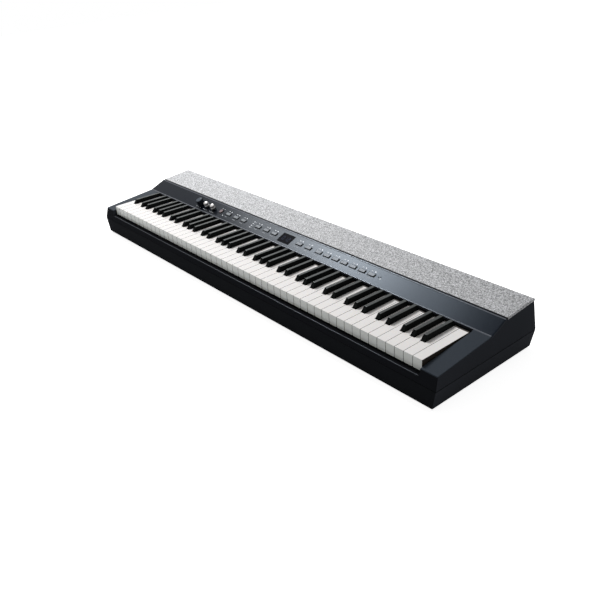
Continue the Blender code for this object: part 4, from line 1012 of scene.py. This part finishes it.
def make_cloth():
    """The cloth over the grille frame: flat on top, rolled over its edges and pulled down all round; its front skirt
    is near-black as painted shade.
    """
    low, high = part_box("grille_cloth")
    co = [v.co for v in NODES["grille_cloth"].data.vertices]
    front_z = max(v.z for v in co if v.y < low.y + 4 * MM)
    slope = (high.z - front_z) / (high.y - low.y)
    cap_normal = Vector((0, -slope, 1)).normalized()
    cap_along = Vector((0, 1, slope)).normalized()
    corner = Vector((0, low.y + 0.2 * MM, front_z))
    length = (high.y - low.y) / cap_along.y
    drop = 4.6 * MM
    roll = 1.7 * MM
    half = high.x
    lean = 0.09

    def section(distance, reach):
        """How far out and down a point at this distance beyond the flat part lies on the rolled edge."""
        if distance <= 0:
            return distance, 0.0
        arc = roll * math.pi / 2
        if distance < arc:
            turn = distance / roll
            return roll * math.sin(turn), roll * (1 - math.cos(turn))
        return roll + (distance - arc) * lean, roll + distance - arc

    flat_x, flat_y = half - roll - (drop - roll) * lean, length - 2 * roll
    skirt = drop - roll + roll * math.pi / 2
    steps_x, steps_y, steps_skirt = 220, 16, 7

    def stations(flat, count):
        inner = [flat * k / count for k in range(count + 1)]
        outer = [flat + skirt * k / steps_skirt for k in range(1, steps_skirt + 1)]
        return [-skirt * k / steps_skirt for k in range(steps_skirt, 0, -1)] + inner + outer

    xs = [x - flat_x for x in stations(2 * flat_x, steps_x)]
    ys = stations(flat_y, steps_y)
    shape = bmesh.new()
    layer = shape.loops.layers.uv.new("cloth")
    grid, where = [], {}
    for x in xs:
        column = []
        for y in ys:
            over_x = abs(x) - flat_x
            out_x, down_x = section(over_x, 0)
            over_y = -y if y < 0 else y - flat_y
            out_y, down_y = section(over_y, 0)
            px = math.copysign(flat_x + out_x, x) if over_x > 0 else x
            py = (-out_y if y < 0 else flat_y + out_y) if over_y > 0 else y
            down = max(down_x, down_y)
            wave = 0.05 * MM * math.sin(x * 43) * math.sin(y * 90 + x * 11)
            spot = corner + cap_along * (py + roll) + cap_normal * (wave - down) + Vector((px, 0, 0))
            vert = shape.verts.new(spot)
            where[vert] = (x, y)
            column.append(vert)
        grid.append(column)
    for i in range(len(xs) - 1):
        for j in range(len(ys) - 1):
            corners = [grid[i][j], grid[i + 1][j], grid[i + 1][j + 1], grid[i][j + 1]]
            over = [(abs(where[v][0]) > flat_x + 1e-9) and (where[v][1] < -1e-9 or where[v][1] > flat_y + 1e-9)
                    for v in corners]
            if all(over) and max(min(abs(where[v][0]) - flat_x, max(-where[v][1], where[v][1] - flat_y))
                                 for v in corners) > roll * 1.2:
                continue
            face = shape.faces.new(corners)
            # The front skirt takes the near-black felt as painted shade.
            face.material_index = int(max(where[v][1] for v in corners) < -0.4 * roll)
            for loop in face.loops:
                loop[layer].uv = where[loop.vert]
    loose = [v for v in shape.verts if not v.link_faces]
    bmesh.ops.delete(shape, geom=loose, context="VERTS")
    bmesh.ops.recalc_face_normals(shape, faces=shape.faces)
    if sum(f.normal.z for f in shape.faces) < 0:
        bmesh.ops.reverse_faces(shape, faces=shape.faces)
    made = piece("speaker_cloth", shape, [CLOTH, CLOTH_EDGE_SHADE], "case", "cloth_silver_grey", 80)
    shell = made.modifiers.new("thickness", "SOLIDIFY")
    shell.thickness = 0.6 * MM
    shell.offset = -1
    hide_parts("grille_cloth")
    return made


# Rear and underside

def make_socket_rings():
    """A metal bush round each round socket, and the shell of the square one."""
    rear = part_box("socket_plate")[1].y
    for opening in RECORD["physics"]["openings"]:
        low, high = (Vector(corner) for corner in opening["box_m"])
        x, z = (low.x + high.x) / 2, (low.z + high.z) / 2
        if opening["name"] == "usb_socket":
            half = (high.x - low.x) / 2 + 0.15 * MM
            wall = 0.35 * MM
            shape = bmesh.new()
            loops = []
            for reach, y in ((half, rear - 14 * MM), (half, rear + 0.4 * MM), (half + wall, rear + 0.4 * MM),
                             (half + wall, rear + 0.02 * MM)):
                loops.append([shape.verts.new((x + sx * reach, y, z + sz * reach))
                              for sx, sz in ((-1, -1), (1, -1), (1, 1), (-1, 1))])
            for first, second in zip(loops, loops[1:]):
                for k in range(4):
                    shape.faces.new((first[k], first[(k + 1) % 4], second[(k + 1) % 4], second[k]))
            shape.faces.new(loops[0])
            bmesh.ops.recalc_face_normals(shape, faces=shape.faces)
            material = STEEL
        else:
            hole = (high.x - low.x) / 2 * 1.42 + 0.05 * MM
            wide = hole + (1.5 * MM if opening["name"] != "power_socket" else 1.1 * MM)
            profile = [(hole, -14 * MM), (hole, 0.5 * MM), (hole + 0.3 * MM, 0.8 * MM),
                       (wide - 0.3 * MM, 0.8 * MM), (wide, 0.5 * MM), (wide, 0.02 * MM)]
            shape = bmesh.new()
            points = [shape.verts.new((radius, 0, height)) for radius, height in profile]
            edges = [shape.edges.new(pair) for pair in zip(points, points[1:])]
            bmesh.ops.spin(shape, geom=points + edges, cent=(0, 0, 0), axis=(0, 0, 1), angle=math.tau,
                           steps=32, use_merge=True)
            bmesh.ops.remove_doubles(shape, verts=shape.verts, dist=1e-6)
            bmesh.ops.recalc_face_normals(shape, faces=shape.faces)
            stand = Matrix.Translation((x, rear, z)) @ Matrix.Rotation(-math.pi / 2, 4, "X")
            bmesh.ops.transform(shape, matrix=stand, verts=shape.verts)
            material = BRASS if "line" in opening["name"] or "headphone" in opening["name"] else STEEL
        piece(opening["name"] + "_ring", shape, [material], "case")


def screw_heads(name, places, radius, body="case"):
    """Countersunk cross-head screws in the underside, grown by a geometry tree from one modelled head."""
    shape = turned([(0, 0.5 * MM), (radius * 0.5, 0.42 * MM), (radius, 0), (radius * 0.45, -1.2 * MM), (0, -1.2 * MM)], 20)
    arm, wide = radius * 0.62, radius * 0.16
    top = [f for f in shape.faces if f.normal.z > 0.3]
    bmesh.ops.delete(shape, geom=top, context="FACES_ONLY")
    merge(shape, turned([(0, 0.5 * MM), (radius * 0.5, 0.42 * MM), (radius, 0)], 20))
    for turn in (0, math.pi / 2):
        slot = raised([(-arm, -wide), (arm, -wide), (arm, wide), (-arm, wide)], 0.3 * MM, 0.56 * MM)
        bmesh.ops.rotate(slot, cent=(0, 0, 0), matrix=Matrix.Rotation(turn, 3, "Z"), verts=slot.verts)
        for face in slot.faces:
            face.material_index = 1
        merge(shape, slot)
    mesh = bpy.data.meshes.new(name + "_master")
    shape.to_mesh(mesh)
    shape.free()
    mesh.materials.append(STEEL)
    mesh.materials.append(CASE_BLACK)
    master = bpy.data.objects.new(name + "_master", mesh)
    bpy.context.scene.collection.objects.link(master)
    base = bpy.data.meshes.new(name)
    base.from_pydata([(x, -y, 0) for x, y in places], [], [])
    tree = Pattern(name, {"Places": ("NodeSocketGeometry", None), "Screw": ("NodeSocketObject", master)})
    points = tree.node("GeometryNodeMeshToPoints", None, {"Mesh": tree.size("Places")})
    head = tree.node("GeometryNodeObjectInfo", None, {"Object": tree.size("Screw")}, 4)
    row = tree.node("GeometryNodeInstanceOnPoints", None, {"Points": points, "Instance": head})
    tree.end(row, STEEL)
    found = tree.grow(name, base)
    bpy.data.objects.remove(master, do_unlink=True)
    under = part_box("bottom_case")[0].z
    flip = Matrix.Translation((0, 0, under)) @ Matrix.Rotation(math.pi, 4, "X")
    bmesh.ops.transform(found, matrix=flip, verts=found.verts)
    return piece(name, found, [STEEL], body)


def make_underside():
    xs = [x * MM for x in (-610, -420, -210, 0, 210, 420, 610)]
    places = [(x, y) for x in xs for y in (-138 * MM, 138 * MM)] + [(x, 20 * MM) for x in xs[1:-1]]
    screw_heads("underside_screws", places, 3.2 * MM)


# Stage

def backdrop(graph, shown, fill):
    """What the camera, gloss and glass see, and what lights the object."""
    names = ("Is Camera Ray", "Is Glossy Ray", "Is Transmission Ray")
    camera, gloss, through = [graph.node("ShaderNodeLightPath", output=name) for name in names]
    seen = camera.math("MAXIMUM", gloss).math("MAXIMUM", through)
    return graph.node("ShaderNodeMixShader", None, [seen, fill, shown])


def make_stage():
    scene = bpy.context.scene
    scene.view_settings.view_transform = "Standard"
    camera_data = bpy.data.cameras.new("camera")
    camera_data.lens = CAMERA_LENS
    camera_data.sensor_width = SENSOR
    camera = bpy.data.objects.new("camera", camera_data)
    camera.location = CAMERA_AT
    camera.rotation_euler = [math.radians(angle) for angle in CAMERA_TURN]
    scene.collection.objects.link(camera)
    scene.camera = camera

    world = bpy.data.worlds.new("studio")
    world.use_nodes = True
    scene.world = world
    sky = Graph(world.node_tree)
    shown, fill = [sky.node("ShaderNodeBackground", None, {"Color": (1, 1, 1), "Strength": level})
                   for level in (1, SKY_LEVEL)]
    sky.put(backdrop(sky, shown, fill), world.node_tree.nodes["World Output"].inputs["Surface"])

    floor_mesh = bpy.data.meshes.new("floor")
    reach = 6
    floor_mesh.from_pydata([(-reach, -reach, 0), (reach, -reach, 0), (reach, reach, 0), (-reach, reach, 0)],
                           [], [(0, 1, 2, 3)])
    floor = bpy.data.objects.new("floor", floor_mesh)
    scene.collection.objects.link(floor)
    pale = Finish("floor", {"Base Color": (0.75, 0.75, 0.75), "Roughness": 0.9, "Specular IOR Level": 0.1})
    bright, dark = [pale.node("ShaderNodeEmission", None, {"Strength": level}) for level in (FLOOR_GLOW, 0)]
    glowing = backdrop(pale, bright, dark)
    both = pale.node("ShaderNodeAddShader", None, [Signal(pale, pale.shader.outputs[0]), glowing])
    pale.put(both, pale.tree.nodes["Material Output"].inputs["Surface"])
    floor_mesh.materials.append(pale.material)

    for number, (height, glow_level) in enumerate(LAMPS):
        data = bpy.data.lights.new(f"key_light_{number}", "AREA")
        data.shape = "RECTANGLE"
        data.size, data.size_y = LAMP_WIDTH, height
        data.energy = glow_level * math.pi * LAMP_WIDTH * height
        lamp = bpy.data.objects.new(f"key_light_{number}", data)
        lamp.location = LAMP_AT - LAMP_FACING * LAMP_SPACING * number
        lamp.rotation_euler = LAMP_FACING.to_track_quat("-Z", "Y").to_euler()
        scene.collection.objects.link(lamp)


SKY_LEVEL = 0.26
FLOOR_GLOW = 0.86
# The key light is a stack of lamps, each a little behind the one before, so that its edge is soft
LAMP_AT = Vector((-1.844, 0.726, 2.442))
LAMP_FACING = Vector((0.689, -0.050, -0.723))
LAMP_SPACING = 0.02
LAMP_WIDTH = 1.0
# Their heights, and how bright each one's face is, where white is 1
LAMPS = ((0.4, 11.2), (0.8, 10.6), (1.2, 2.4), (1.6, 7.7), (2.0, 2.2))

make_stage()
make_case()
make_trim()
paint_inside()
make_whites()
make_sharps()
make_buttons()
make_knobs()
make_marks()
make_digits()
make_cloth()
make_socket_rings()
make_underside()
